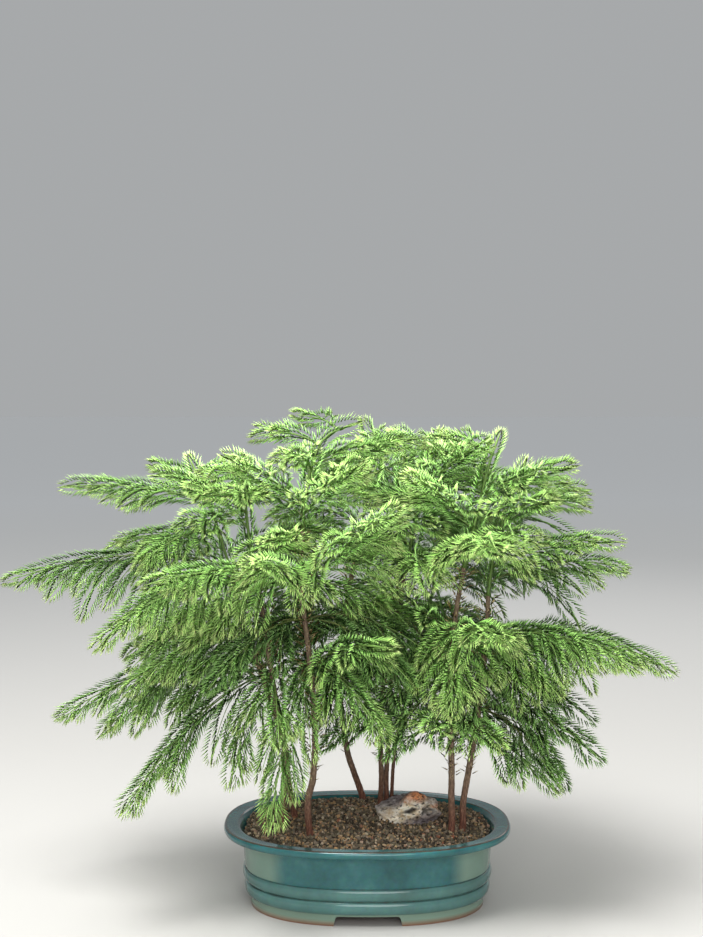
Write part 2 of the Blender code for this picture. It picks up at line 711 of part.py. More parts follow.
def inner_stem(piece, share):
    """Where a further frond at this share of the height leaves its stem, its rise and its relative reach."""
    if piece in WHORLS:
        tree, height, _ = WHORLS[piece]
        return whorl_stem(tree, height), -INNER_FALL, 1
    line = leader_line(LEADERS[piece][0])
    along = lengths_of(line)
    low, high = INNER_SHARES
    place, _ = place_on(line, along, (low + (high - low) * share) * along[-1])
    return place, INNER_RISE, INNER_TAPER[0] + (INNER_TAPER[1] - INNER_TAPER[0]) * share


def inner_places(piece, planned):
    """Where a piece's further fronds leave its stem: each goes into the widest gap round it."""
    count, reach = INNER[piece]
    draw = random.Random(piece)
    angles = [math.atan2(line[-1].y - line[0].y, line[-1].x - line[0].x) for _, line in planned]
    angles = sorted(angles) or [draw.uniform(-math.pi, math.pi)]
    places = []
    for number in range(count):
        turned = angles[1:] + angles[:1]
        gaps = [(after - angle) % math.tau or math.tau for angle, after in zip(angles, turned)]
        widest = gaps.index(max(gaps))
        angle = angles[widest] + gaps[widest] / 2 + draw.uniform(-INNER_WOBBLE, INNER_WOBBLE)
        angles = sorted([*angles, (angle + math.pi) % math.tau - math.pi])
        stem, rise, taper = inner_stem(piece, number / (count - 1))
        far = reach * taper * draw.uniform(*INNER_STRETCH) * MM
        tip = stem + Vector((math.cos(angle) * far, math.sin(angle) * far, rise * far))
        places.append((stem, tip, INNER_ARCH * far / MM))
    return places


def plan_inner(room, plans):
    """Adds each piece's further fronds where they find room, one for every piece in turn."""
    further = {piece: inner_places(piece, planned) for piece, planned in plans.items()}
    for number in range(max(len(places) for places in further.values())):
        for piece, places in further.items():
            if number >= len(places):
                continue
            start, tip, arch = places[number]
            frond = f"{piece}_inner_{number + 1}"
            line = clear_frond(room, piece, frond, start, tip, arch, INNER_TURNS, INNER_CUTS)
            if line:
                plans[piece].append((frond, line))
                room.fill(piece, frond, line, SHOOT_ROOM)


def plan_grove(room):
    """Every frond's line in every piece: first those that shape the crown, then those that fill it."""
    for tree in TREES:
        room.fill(tree + "_trunk", tree, curve_points(trunk_corners(tree), TRUNK_STEP), TRUNK_ROOM)
        room.fill(tree + "_top", tree, leader_line(tree), SHOOT_ROOM)
    places = {
        name: whorl_places(tree, height, fronds) for name, (tree, height, fronds) in WHORLS.items()
    }
    places |= {name: leader_places(tree, fronds) for name, (tree, fronds) in LEADERS.items()}
    for name, starts in places.items():
        stems = [whorl_stem(*WHORLS[name][:2])] if name in WHORLS else [start for start, _, _ in starts]
        room.fill(name, name, stems, WHORL_ROOM)
    plans = {name: plan_fronds(room, name, starts) for name, starts in places.items()}
    plan_inner(room, plans)
    return plans


def make_whorl(name, tree, shoots, stem, group):
    """A collar of young wood round the trunk, with its fronds, bored for the trunk."""
    corners = trunk_corners(tree)
    points = curve_points(corners, TRUNK_STEP)
    along = lengths_of(points)
    index = min(range(len(points)), key=lambda i: (points[i] - stem).length_squared)
    heading = place_on(points, along, along[index])[1]
    radius = trunk_width(tree, along[index] / along[-1]) + COLLAR_WALL
    turn = UP.rotation_difference(heading).to_matrix().to_4x4()
    shape = bmesh.new()
    bmesh.ops.create_cone(
        shape, cap_ends=True, segments=6, radius1=radius, radius2=radius, depth=COLLAR_HEIGHT,
        matrix=Matrix.Translation(stem) @ turn,
    )
    whorl = add_object(name, shape, group, GREEN)
    draw = random.Random(name)
    parts = [
        shoot_mesh(shoot, line, width, group, twist=draw.uniform(0, 2)) for shoot, line, width in shoots
    ]
    combine(whorl, "UNION", parts)
    return combine(whorl, "DIFFERENCE", [trunk_tube("bore", tree, group, GAP)])


def make_top(name, line, shoots, group):
    """The green leader and the fronds that grow from it."""
    line = [line[0] + (line[1] - line[0]).normalized() * GAP, *line[1:]]
    leader = shoot_mesh(name, line, LEADER_WIDTH, group, LEADER_BANDS)
    leader.data.materials.append(material(GREEN))
    draw = random.Random(name)
    parts = [
        shoot_mesh(shoot, way, width, group, twist=draw.uniform(0, 2)) for shoot, way, width in shoots
    ]
    return combine(leader, "UNION", parts)


def centre_on_origin(group):
    """Moves everything so that the origin is the middle of the underside of the whole box."""
    bpy.context.view_layer.update()
    corners = [made.matrix_world @ Vector(corner) for made in group.objects for corner in made.bound_box]
    lowest = [min(corner[axis] for corner in corners) for axis in range(3)]
    highest = [max(corner[axis] for corner in corners) for axis in range(3)]
    shift = Vector(((lowest[0] + highest[0]) / 2, (lowest[1] + highest[1]) / 2, lowest[2]))
    for made in group.objects:
        made.location -= shift


def main():
    for made in list(bpy.data.objects):
        bpy.data.objects.remove(made)
    group = collection(GROVE)
    make_pot(group)
    soil = make_soil(group)
    rock = make_rock(group)
    sink_rock(soil, rock)
    holes = [trunk_tube("hole", tree, group, GAP) for tree in TREES]
    combine(soil, "DIFFERENCE", holes)
    for tree in TREES:
        make_trunk(tree, group)

    room = Room()
    for name, planned in plan_grove(room).items():
        shoots = plan_laterals(room, name, planned)
        if name in WHORLS:
            tree, height, _ = WHORLS[name]
            make_whorl(name, tree, shoots, whorl_stem(tree, height), group)
        else:
            make_top(name, leader_line(LEADERS[name][0]), shoots, group)
    centre_on_origin(group)


main()
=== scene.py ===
"""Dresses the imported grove: nine young Norfolk Island pines in a glazed bonsai pot, with soil and a stone.

Units are metres and +Z is up. The front faces -Y. Everything is laid out about the middle of the pot's foot
plane, as the solids were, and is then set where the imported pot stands.
"""

import math
import random
import zlib

import bpy
import numpy as np
from mathutils import Matrix, Vector, noise


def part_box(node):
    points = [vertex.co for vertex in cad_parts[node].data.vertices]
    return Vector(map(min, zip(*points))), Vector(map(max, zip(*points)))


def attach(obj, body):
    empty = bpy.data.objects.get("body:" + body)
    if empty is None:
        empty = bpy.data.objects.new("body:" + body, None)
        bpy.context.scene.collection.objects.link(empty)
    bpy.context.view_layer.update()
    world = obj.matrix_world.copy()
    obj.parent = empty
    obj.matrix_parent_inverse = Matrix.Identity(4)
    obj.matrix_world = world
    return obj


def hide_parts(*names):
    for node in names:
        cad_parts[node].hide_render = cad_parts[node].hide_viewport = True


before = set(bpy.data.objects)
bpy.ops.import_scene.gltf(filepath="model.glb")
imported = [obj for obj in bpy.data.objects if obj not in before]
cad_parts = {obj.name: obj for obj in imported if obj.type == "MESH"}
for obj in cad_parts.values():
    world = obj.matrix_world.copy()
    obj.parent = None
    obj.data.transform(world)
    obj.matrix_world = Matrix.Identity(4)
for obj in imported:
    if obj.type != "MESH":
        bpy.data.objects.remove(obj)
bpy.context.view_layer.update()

MM = 0.001
UP = Vector((0, 0, 1))


def middle_of(node):
    low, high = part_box(node)
    return (low + high) / 2


POT = Vector((*middle_of("pot").xy, 0))

# The photograph's view: the lens's place from the pot, how far it looks down, and its focal length.
VIEW_FROM = Vector((-15.3, -1467, 507.5)) * MM
VIEW_DOWN = math.radians(3.3)
FOCAL_PIXELS, PHOTO_LONG_SIDE = 1516, 937
FILM = 36  # the film's long side, in millimetres

# The pot, as the solid has it: a superellipse in plan, with profiles of (inset, height) in millimetres.
POT_HALF_LENGTH, POT_HALF_DEPTH, POT_FULLNESS = 140 * MM, 108 * MM, 2.4
POT_SIDES = 160
FLOOR_OVER = 17  # the height of the pot's floor
POT_INSIDE = [
    (34, 17), (29.4, 18.6), (27.2, 22), (26.4, 27), (25.4, 45), (25, 58), (23.4, 64), (20.4, 69.2),
    (17.8, 73),
]
POT_LIP = [
    (15.9, 75.6), (14.6, 76.7), (12.8, 77), (8.5, 76.8), (4.6, 77.5), (3, 77.9), (1.7, 77.7), (0.7, 76.9),
    (0.15, 75.8), (0, 74.4), (0.25, 73), (0.9, 71.7), (2, 70.8), (3.6, 70.2), (8, 68.9), (12.6, 67.9),
    (15.4, 66.8), (17.2, 64.8), (18.1, 62),
]
POT_PANEL = [(18.8, 57), (19.5, 48), (20.1, 40.5), (20.3, 38.2)]
# Each raised band: the inset and height of its top, the same of its bottom, and its swell.
BAND_UPPER = (20.7, 36.8, 22.6, 24.9, 3.3)
BAND_LOWER = (22.8, 24.1, 24.4, 11.4, 3.6)
BAND_STEPS = 12
POT_FOOT = [(25, 10.6), (25.1, 6), (25.4, 1.2), (26.2, 0), (32.9, 0), (33.6, 0.8), (34.4, 9.6), (36, 11)]
FOOT_CUT_HEIGHT = 9.6 * MM
FOOT_CUT_FRONT = (60 * MM, 69 * MM)  # width at the top and at the table
FOOT_CUT_END = (49 * MM, 56 * MM)
FOOT_CUT_ROUND = 2.5 * MM
DRAIN_RADIUS, DRAIN_PLACE, DRAIN_CUT = 6 * MM, 48 * MM, 30 * MM

# Where the glaze changes, and where shade and reflection are painted on it, in insets and heights in
# millimetres
OUTSIDE = 25.55  # the pot's outside lies within this inset
WORN_EDGES = [(2, 77.9, 2.2, 1), (14.6, 76.7, 1.8, 0.8)]  # inset, height, width and strength
# The grooves under the bands: painted shade, with some darker pooled glaze.
GROOVES, GROOVE_WIDTH, GROOVE_SHADE = (37, 24.4), 1.8, 0.55
# The foot, the bands and the panel's ends are paler: partly the glaze's celadon tone, partly painted
# reflection.
FOOT_TOP, FOOT_BLEND, FOOT_PALE, BANDS_PALE = 13.5, 3, 0.85, 0.22
END_FROM, END_BLEND, END_PALE, END_HEIGHTS = 78, 20, 0.7, (38, 68)  # the panel's ends are paler
CLAY_TOP, CLAY_BLEND = 1.5, 1.2  # the foot is bare below this
UNDER_INSET, UNDER_HEIGHT = 25.6, 11.5  # and so is the underside

# The soil: its mound, its lumps, and the outline of its bed in millimetres
SOIL_EDGE = 21.2 * MM
SOIL_RIM_HEIGHT, SOIL_MOUND, SOIL_SLOPE = 71.5 * MM, 6 * MM, 0.035
SOIL_LUMP, SOIL_GRAIN = 1.3 * MM, 9 * MM
SOIL_WALL = [(35, 17.6), (30, 18.9), (27.8, 22.2), (26, 45), (25.6, 58)]
SOIL_TOP, SOIL_RINGS = 70, (0, 2, 5, 9, 14, 20, 27, 35, 44, 54, 65, 76, 83)
# Its crumbs: one in three is coarser
GRAIN_PITCH, GRAIN_SMALL, GRAIN_LARGE, GRAIN_COARSE = 2.45 * MM, 0.95 * MM, 1.9 * MM, (1, 1, 1.35)
GRAIN_STRETCH, GRAIN_ANGULAR = (0.6, 1.15), (0.72, 1.2)
GRAIN_SCATTER, GRAIN_HEIGHTS = 0.45, (-0.5, 0.7)  # in shares of the pitch, and in millimetres
GRAIN_OVER_EDGE, GRAIN_UNDER_ROCK = 0.6 * MM, 0.8

# The stone
ROCK_MIDDLE = Vector((40, 2, 84)) * MM
ROCK_HALF = Vector((28.5, 18.5, 17.5)) * MM
ROCK_LUMP, ROCK_GRAIN, ROCK_SEED = 0.3, 0.9, Vector((3.1, 0.4, 1.7))
ROCK_ROUGH, ROCK_ROUGH_GRAIN, ROCK_LEDGE = 0.05, 4.5, 0.12
ROCK_CRACK_WIDTH, ROCK_CHIP_GRAIN = 0.1, 5.5
ROCK_SPECK_GRAIN, ROCK_SPECK_SEED = 9, Vector((9, 2, 5))
CRACK_DEPTH, HOLLOW_DEPTH, SPECK_DEPTH = 0.04, 0.1, 0.03
ROCK_PEAK, ROCK_BASE = 0.22, -0.62  # the peak stands right of the middle, and the base is flat
# Flats on the stone: which way each faces, and how far out it lies.
ROCK_FLATS = [
    ((-0.45, -0.8, 0.25), 0.84), ((0.45, -0.85, 0.1), 0.86), ((-0.5, -0.1, 0.85), 0.8),
    ((0.3, -0.5, 0.8), 0.88), ((0.95, -0.2, 0.3), 0.9), ((-0.1, -0.75, -0.6), 0.82),
    ((0.4, 0.6, 0.7), 0.85),
]
# Oval stains, as they look from the front: the middle, the half size and the slope of each.
STAINS = {
    "cream": ((-0.2, -0.02), (1.1, 0.56), 0.2),
    "hollow": ((0.1, 0.06), (0.36, 0.13), 0.2),
    "right_hollow": ((0.66, -0.05), (0.13, 0.28), 0),
    "rust": ((0.3, 0.74), (0.44, 0.22), 0),
    "right_rust": ((1.0, 0.1), (0.14, 0.2), 0),
}

# Each tree: its trunk from the soil as far as it is brown, and then its green leader, in millimetres.
TREES = {
    "tree_1": (
        [(-83, -15, 73), (-80, -17, 123), (-80, -20, 151), (-89, -24, 207), (-104, -29, 312)],
        [(-111, -30, 346), (-116, -30, 390), (-118, -30, 430)],
    ),
    "tree_2": (
        [(-71, 14, 75), (-79, 18, 118), (-82, 20, 148), (-104, 25, 215), (-126, 30, 278), (-134, 32, 315)],
        [(-142, 34, 340), (-158, 38, 390), (-177, 40, 432)],
    ),
    "tree_3": (
        [
            (-55, -37, 74), (-57, -40, 107), (-52, -42, 130), (-50, -45, 175), (-55, -46, 245),
            (-63, -44, 317), (-61, -42, 366),
        ],
        [(-59, -40, 398), (-50, -38, 436), (-37, -36, 457), (-9, -32, 468)],
    ),
    "tree_4": (
        [
            (-3, 75, 75), (-13, 70, 107), (-20, 66, 131), (-26, 62, 176), (-28, 60, 210),
            (-22, 66, 270), (-12, 72, 330),
        ],
        [(-3, 78, 370), (5, 84, 400), (12, 88, 428)],
    ),
    "tree_5": (
        [(14, 54, 76), (15, 50, 107), (14, 44, 150), (16, 36, 200), (26, 28, 260), (38, 22, 320)],
        [(50, 16, 380), (61, 12, 425), (72, 10, 458)],
    ),
    "tree_6": (
        [(20.5, 66, 76), (20.5, 66, 110), (24, 70, 152), (25, 74, 192), (29, 82, 250), (33, 90, 310)],
        [(35, 98, 370), (38, 106, 415), (41, 110, 445)],
    ),
    "tree_7": (
        [(26, 79, 75), (29, 84, 120), (40, 94, 170), (54, 104, 220), (66, 112, 270)],
        [(74, 118, 310), (80, 122, 345), (84, 124, 375)],
    ),
    "tree_8": (
        [(81, -25, 73), (81, -26, 110), (81, -26, 141), (79, -28, 231), (85, -30, 290), (92, -31, 330)],
        [(104, -30, 380), (116, -28, 430), (126, -26, 458)],
    ),
    "tree_9": (
        [(92, -18, 73), (93, -19, 100), (99, -18, 136), (108, -16, 190), (115, -14, 265), (117, -10, 300)],
        [(124, -4, 345), (138, 0, 390), (154, 4, 430)],
    ),
}
TRUNK_RADIUS = {"tree_5": 3.0, "tree_6": 2.8, "tree_7": 2.1}  # at the soil, in millimetres
USUAL_TRUNK_RADIUS = 3.5
TRUNK_TAPER = 0.6
TRUNK_STEP, SHOOT_STEP = 6 * MM, 8 * MM  # between the points of a curve
ROOT_DEPTH, ROOT_INWARD = 28 * MM, 0.88

# Each whorl: its height, and each frond's tip and arch over a straight line to it, in millimetres.
# The mid whorls have further fronds alone.
WHORLS = {
    "tree_1_low": (225, [((-226, -95, 112), 46), ((-126, -105, 140), 38), ((-48, 106, 196), 30)]),
    "tree_2_low": (235, [((-300, -10, 182), 34), ((-276, 95, 140), 44), ((-130, 150, 190), 34)]),
    "tree_3_low": (240, [((-88, -145, 112), 58), ((20, -148, 272), 20), ((-30, 60, 225), 20)]),
    "tree_3_high": (318, [((-196, -158, 330), 24), ((24, -166, 398), 6), ((-96, -176, 350), 14)]),
    "tree_4_low": (205, [((-100, 190, 190), 30), ((28, -28, 170), 26)]),
    "tree_5_low": (235, [((30, -116, 214), 26)]),
    "tree_6_low": (228, [((70, 210, 178), 34), ((-30, 215, 250), 24)]),
    "tree_7_low": (215, [((170, 130, 160), 34), ((130, 200, 240), 20)]),
    "tree_8_low": (172, [((54, -128, 196), 18), ((118, -134, 182), 24), ((30, 0, 150), 16)]),
    "tree_8_high": (262, [((118, -165, 282), 20), ((5, -60, 320), 10), ((66, 60, 290), 18)]),
    "tree_9_low": (190, [((214, -92, 160), 36), ((196, 6, 108), 50)]),
    "tree_9_high": (258, [((298, -2, 224), 42), ((244, -112, 248), 30), ((215, 118, 218), 30)]),
}
MID_HEIGHTS = (272, 278, 280, 262, 280, 272, 250, 216, 224)
WHORLS |= {f"tree_{number}_mid": (height, []) for number, height in enumerate(MID_HEIGHTS, 1)}
# Each leader: its fronds, with the share of the leader's length where each leaves it.
LEADERS = {
    "tree_1_top": [
        (0.1, (-240, -150, 275), 40), (0.2, (-66, -132, 372), 10), (0.6, (-196, -70, 420), 14),
    ],
    "tree_2_top": [
        (0.08, (-353, 6, 312), 34), (0.2, (-268, 140, 330), 30), (0.35, (-215, -62, 334), 24),
        (0.6, (-297, 16, 404), 16), (0.75, (-222, 110, 420), 8),
    ],
    "tree_3_top": [
        (0.12, (-6, -132, 436), 10), (0.2, (-130, -96, 440), 8), (0.4, (-62, 40, 440), 10),
        (0.5, (50, -58, 452), 8),
    ],
    "tree_4_top": [
        (0.1, (-104, 178, 338), 26), (0.3, (-70, 108, 424), 8), (0.45, (46, 196, 404), 12),
    ],
    "tree_5_top": [
        (0.1, (54, -120, 322), 24), (0.3, (146, 60, 370), 20), (0.6, (110, -66, 454), 6),
    ],
    "tree_6_top": [
        (0.1, (20, 232, 320), 26), (0.5, (-34, 150, 440), 6), (0.6, (110, 172, 440), 6),
    ],
    "tree_7_top": [(0.2, (206, 150, 300), 24), (0.4, (130, 232, 352), 14)],
    "tree_8_top": [
        (0.1, (112, -172, 360), 18), (0.3, (38, -112, 424), 8), (0.55, (186, -96, 430), 8),
    ],
    "tree_9_top": [
        (0.1, (262, 62, 318), 26), (0.2, (238, -44, 356), 22), (0.5, (226, 100, 396), 14),
        (0.55, (160, -100, 398), 12),
    ],
}

# Further fronds that fill each whorl and leader all round: how many, and how far they reach in millimetres.
INNER = {
    "tree_1_low": (2, 120), "tree_1_mid": (6, 128), "tree_1_top": (5, 96),
    "tree_2_low": (2, 120), "tree_2_mid": (6, 128), "tree_2_top": (4, 92),
    "tree_3_low": (2, 115), "tree_3_mid": (6, 122), "tree_3_high": (3, 110), "tree_3_top": (5, 84),
    "tree_4_low": (3, 110), "tree_4_mid": (6, 122), "tree_4_top": (5, 96),
    "tree_5_low": (4, 115), "tree_5_mid": (6, 122), "tree_5_top": (6, 96),
    "tree_6_low": (3, 115), "tree_6_mid": (6, 122), "tree_6_top": (6, 96),
    "tree_7_low": (3, 110), "tree_7_mid": (5, 106), "tree_7_top": (4, 86),
    "tree_8_low": (2, 105), "tree_8_mid": (6, 122), "tree_8_high": (3, 115), "tree_8_top": (5, 96),
    "tree_9_low": (3, 115), "tree_9_mid": (5, 122), "tree_9_high": (2, 115), "tree_9_top": (4, 96),
}
INNER_SHARES = (0.1, 0.84)  # where the lowest and the highest of a leader's further fronds leave it
INNER_TAPER = (1.25, 0.72)  # how the reach of a leader's further fronds changes between those two
INNER_FALL, INNER_RISE, INNER_ARCH = 0.4, 0.12, 0.26  # in shares of their reach
INNER_TURN_DIFFERS, INNER_REACHES = 0.15, (0.85, 1.1)
FROND_BEND, FROND_LEAST_PARTS, LATERAL_LEAST_PARTS = 0.45, 4, 3

# Side shoots: where they leave a frond, how they lean and how long they are.
LATERAL_FIRST, LATERAL_STEP, LATERAL_LAST = 18 * MM, 11.5 * MM, 24 * MM
LATERAL_LEAN, LATERAL_CLOSE = (math.radians(36), math.radians(50)), 0.45  # closer where a frond hangs
LATERAL_SHARE, LATERAL_STRETCH = 0.62, (0.8, 1.12)  # of what is left of the frond, and its spread
LATERAL_LEAST, LATERAL_MOST = 24 * MM, 92 * MM
LATERAL_ROLL, LATERAL_LIFT = (-0.3, 0.4), 0.15  # how a root turns down or up, and how much more high up
HANG_HEIGHTS, HANG_STEPS = (330 * MM, 470 * MM), (0.14, 0.03)  # low ones bend down more at each step
# Room that fronds keep from shoots of other pieces, trunks, fronds of their own piece and other whorls.
SHOOT_ROOM, TRUNK_ROOM, SIBLING_ROOM, WHORL_ROOM = 19 * MM, 14.5 * MM, 11 * MM, 27 * MM
FREE_NEAR_STEM = 24 * MM  # they all meet at their own stem
# How a frond without room is turned in degrees, shortened, or lifted in millimetres, in the order tried.
TURNS = (0, 7, -7, 14, -14, 21, -21, 28, -28)
INNER_TURNS = (0, 9, -9, 18, -18, 27, -27, 36, -36, 48, -48, 60, -60)
INNER_CUTS = (1, 0.84, 0.68)
LIFTS = (0, 12, -12, 24)

# Twigs and needles
LEADER_WIDTH, FROND_WIDTH, LATERAL_WIDTH = 1.8 * MM, 0.95 * MM, 0.55 * MM
TWIG_TIP_SHARE, TWIG_END_SHARE, TWIG_SIDES = 0.5, 0.5, 4
TWIG_COLLAR, TWIG_COLLAR_LENGTH = 0.6, 4 * MM
FROND_BARE, LATERAL_BARE = 6 * MM, 3 * MM  # how far a shoot is bare from its root
NEEDLE_SPACING, NEEDLE_SPACING_AT_TIP = 0.75 * MM, 0.45 * MM
NEEDLE_LENGTH, NEEDLE_THICK = 17.5 * MM, 0.95 * MM
NEEDLE_BEND, NEEDLE_FLAT = 0.42, 0.8  # where it bends along its length, and how flat it is
NEEDLE_BOW = 0.12  # how far it bows out, as a share of its length
NEEDLE_ROOT = 1.2 * MM  # how far behind the twig's middle it starts
NEEDLE_ROWS, NEEDLE_TWIST = 4, 0.012  # rows round a shoot, and how far they wind from needle to needle
ROW_TURN = math.tau / NEEDLE_ROWS + NEEDLE_TWIST
NEEDLE_SPREAD, NEEDLE_SPREAD_AT_TIP = math.radians(52), math.radians(22)
NEEDLE_LENGTHS, SPREAD_DIFFERS, TURN_DIFFERS = (0.92, 1.06), 0.06, 0.08  # how much needles differ
FIRST_NEEDLE, NEEDLE_GROWS_OVER = 0.62, 12 * MM  # the first one's relative length, and to where they grow
TIP_SHORTER, TIP_LENGTH_POWER, TIP_SPREAD_POWER = 0.42, 1.5, 1.3  # how they shorten and close at the end
TASSEL, YOUNG_LENGTH = 14 * MM, 28 * MM  # each shoot's closed end, and how far its young colour reaches

# The age of growth, as its materials read it: 0 is old and deep green, and 1 is new and yellow-green. It
# also carries painted light: fronds in front are painted newer and lighter, and high fronds partly for their
# real age and partly as painted light.
AGE_LEAST, AGE_MOST, AGE_DIFFERS, NEEDLE_AGE_DIFFERS = 0.03, 0.64, 0.1, 0.06
AGE_AT_SOIL, AGE_AND_LIGHT_BY_HEIGHT, LIGHT_BY_FRONT, LEADER_AGE = 0.01, 0.32, 0.3, 0.5
TREE_HEIGHT = 450 * MM
# In front, growth is painted newer and lighter: this is painted light.
FRONT_FROM, FRONT_DEPTH = 60 * MM, 220 * MM  # where fronds begin to look newer, and over what depth
TWIG_AGE, TWIG_OLDER, TWIG_PAINT = 0.5, 2, 0.5  # a twig is older than its needles, and its new end shorter
# The low growth in the middle is painted a deeper green, partly for its real age and partly as painted
# shade, and its ends pale less. It and the lowest growth in front have fewer side shoots.
SHADED = {
    f"{tree}_{part}" for tree in ("tree_4", "tree_5", "tree_6", "tree_7") for part in ("low", "mid")
} | {"tree_3_mid", "tree_8_mid", "tree_9_low", "tree_9_mid"}
# How far painted shade darkens the shaded growth, and how far its ends may pale.
PAINTED_SHADE_SHARE, SHADED_TIP = 0.35, 0.5
THINNED = SHADED | {"tree_1_low", "tree_2_low", "tree_3_low", "tree_8_low"}
THIN_EVERY = 3

# Bark, and the old needles on it
BARK_SIDES, BARK_STEP = 16, 2.2 * MM
SOIL_LEVEL, ROOT_FLARE, ROOT_FLARE_HEIGHT = 72 * MM, 0.08, 9 * MM
BARK_RIDGE, BARK_RIDGES = 0.28 * MM, np.array((420, 420, 130))  # depth, and ridges in a metre each way
BARK_SCAR, SCAR_SPACING = 0.16 * MM, 7 * MM
BARK_GREY_FROM, BARK_GREY_OVER = 80 * MM, 50 * MM
OLD_NEEDLE_FROM, OLD_NEEDLE_SPACING, OLD_NEEDLE_LENGTH = 128 * MM, 0.9 * MM, 14 * MM
OLD_LENGTHS, OLD_SPREADS, OLD_TURN_DIFFERS = (0.5, 1.5), (0.8, 1.5), 0.6
OLD_FIRST, OLD_GROWS_OVER = 0.6, 40 * MM
OLD_AGES, OLD_AGE = (-0.3, 0.9), 0.2

# The studio: each light's place from the pot, its width in metres and its power in watts
FLOOR_SIZE, FLOOR_NEAR, FLOOR_FAR = 40, 0.8, 5.0
LIGHTS = [
    ("key", (-0.4, -0.6, 2.0), 1.0, 74),
    ("front", (0.15, -2.2, 0.95), 1.3, 25),
    ("back", (0.7, 1.8, 1.6), 1.5, 9),
]
LIT_HEIGHT = Vector((0, 0, 0.2))


# Materials


def linear(code):
    """A hex sRGB colour as Blender's linear channels."""
    channels = [int(code[i : i + 2], 16) / 255 for i in (1, 3, 5)]
    return (*(c / 12.92 if c <= 0.04045 else ((c + 0.055) / 1.055) ** 2.4 for c in channels), 1)


def feed(node, inputs):
    """Fills a node's inputs, each with a value, an output, or another node's first output."""
    for socket, value in inputs.items():
        if isinstance(value, bpy.types.Node):
            value = value.outputs[0]
        if isinstance(value, bpy.types.NodeSocket):
            node.id_data.links.new(value, node.inputs[socket])
        else:
            node.inputs[socket].default_value = value


def add_node(tree, kind, inputs=None, stops=None, **settings):
    """Adds a node with its settings, its inputs and, for a ramp, its colour stops."""
    made = tree.nodes.new("ShaderNode" + kind)
    for key, value in settings.items():
        setattr(made, key, value)
    feed(made, inputs or {})
    if stops:
        ramp = made.color_ramp.elements
        for place, _ in stops[1:-1]:
            ramp.new(place)
        for element, (place, colour) in zip(ramp, stops):
            element.position, element.color = place, linear(colour)
    return made


def new_material(name, **settings):
    """A Principled material, its uniform values set on the shader's own sockets."""
    made = bpy.data.materials.new(name)
    made.use_nodes = True
    shader = made.node_tree.nodes["Principled BSDF"]
    feed(shader, {socket.replace("_", " "): value for socket, value in settings.items()})
    return made, made.node_tree, shader


def painted(tree, name):
    """The three channels of what a piece stores on its mesh for its material."""
    paint = add_node(tree, "Attribute", attribute_name=name)
    return add_node(tree, "SeparateColor", {"Color": paint}).outputs


def glazed_stoneware():
    """A glossy blue-green glaze over brown clay: thin on edges, with painted shade and darker pooling in the
    grooves, a pale celadon on foot, bands and ends that is partly its own tone and partly painted
    reflection, and none underneath.
    """
    made, tree, shader = new_material("glazed_stoneware", IOR=1.4, Coat_Weight=0.15, Coat_Roughness=0.1)
    place = add_node(tree, "TexCoord").outputs["Object"]
    thin_and_groove_shade, pale, bare = painted(tree, "glaze")
    broad = add_node(tree, "TexNoise", {"Vector": place, "Scale": 26.0, "Detail": 5.0, "Roughness": 0.6})
    fine = add_node(tree, "TexNoise", {"Vector": place, "Scale": 260.0, "Detail": 3.0, "Roughness": 0.55})
    body = add_node(
        tree, "ValToRGB", {"Fac": broad}, [(0.25, "#1c484a"), (0.5, "#2b5f61"), (0.75, "#3f7473")]
    )
    speckle = add_node(
        tree, "MixRGB", {"Fac": 0.25, "Color1": body, "Color2": fine.outputs["Color"]},
        blend_type="SOFT_LIGHT",
    )
    # Paler on the foot, bands and ends: partly the glaze's celadon tone, partly painted reflection.
    pale_and_reflected = add_node(tree, "MixRGB", {"Fac": pale, "Color1": speckle, "Color2": linear("#7c9280")})
    rubbed = add_node(tree, "Math", {0: fine, 1: 0.55}, operation="MULTIPLY")
    # The glaze breaks to brown where it is thin on the edges. In the grooves under the bands the same brown
    # is painted shade, with some darker pooled glaze.
    edge = add_node(tree, "Math", {0: thin_and_groove_shade, 1: rubbed}, operation="ADD")
    worn_and_shaded = add_node(tree, "MapRange", {"Value": edge, "From Min": 0.62, "From Max": 1.0, "To Max": 0.9})
    broken_and_shaded = add_node(tree, "MixRGB", {"Fac": worn_and_shaded, "Color1": pale_and_reflected, "Color2": linear("#4a3325")})
    clay = add_node(tree, "MixRGB", {"Fac": bare, "Color1": broken_and_shaded, "Color2": linear("#8a5a41")})
    rough = add_node(tree, "MapRange", {"Value": bare, "To Min": 0.16, "To Max": 0.85})
    bump = add_node(tree, "Bump", {"Strength": 0.06, "Distance": 0.0006, "Height": broad})
    feed(shader, {"Base Color": clay, "Roughness": rough, "Normal": bump})
    return made


def soil_grains():
    """Crushed lava and baked clay: matte, porous, each grain its own dull brown, grey, tan or rust."""
    made, tree, shader = new_material("soil_grains", Roughness=0.92)
    place = add_node(tree, "TexCoord").outputs["Object"]
    paint = add_node(tree, "Attribute", attribute_name="grain")
    colour = add_node(
        tree, "ValToRGB", {"Fac": paint.outputs["Fac"]},
        [
            (0.0, "#2f261d"), (0.22, "#4d4234"), (0.5, "#665a48"), (0.68, "#7b7060"), (0.8, "#8f7453"),
            (0.88, "#a8835c"), (0.94, "#b3a58d"), (1.0, "#8b5138"),
        ],
    )
    pores = add_node(tree, "TexNoise", {"Vector": place, "Scale": 1400.0, "Detail": 3.0, "Roughness": 0.7})
    mixed = {"Fac": 0.6, "Color1": colour, "Color2": pores.outputs["Color"]}
    dusty = add_node(tree, "MixRGB", mixed, blend_type="OVERLAY")
    bump = add_node(tree, "Bump", {"Strength": 0.7, "Distance": 0.0004, "Height": pores})
    feed(shader, {"Base Color": dusty, "Normal": bump})
    return made


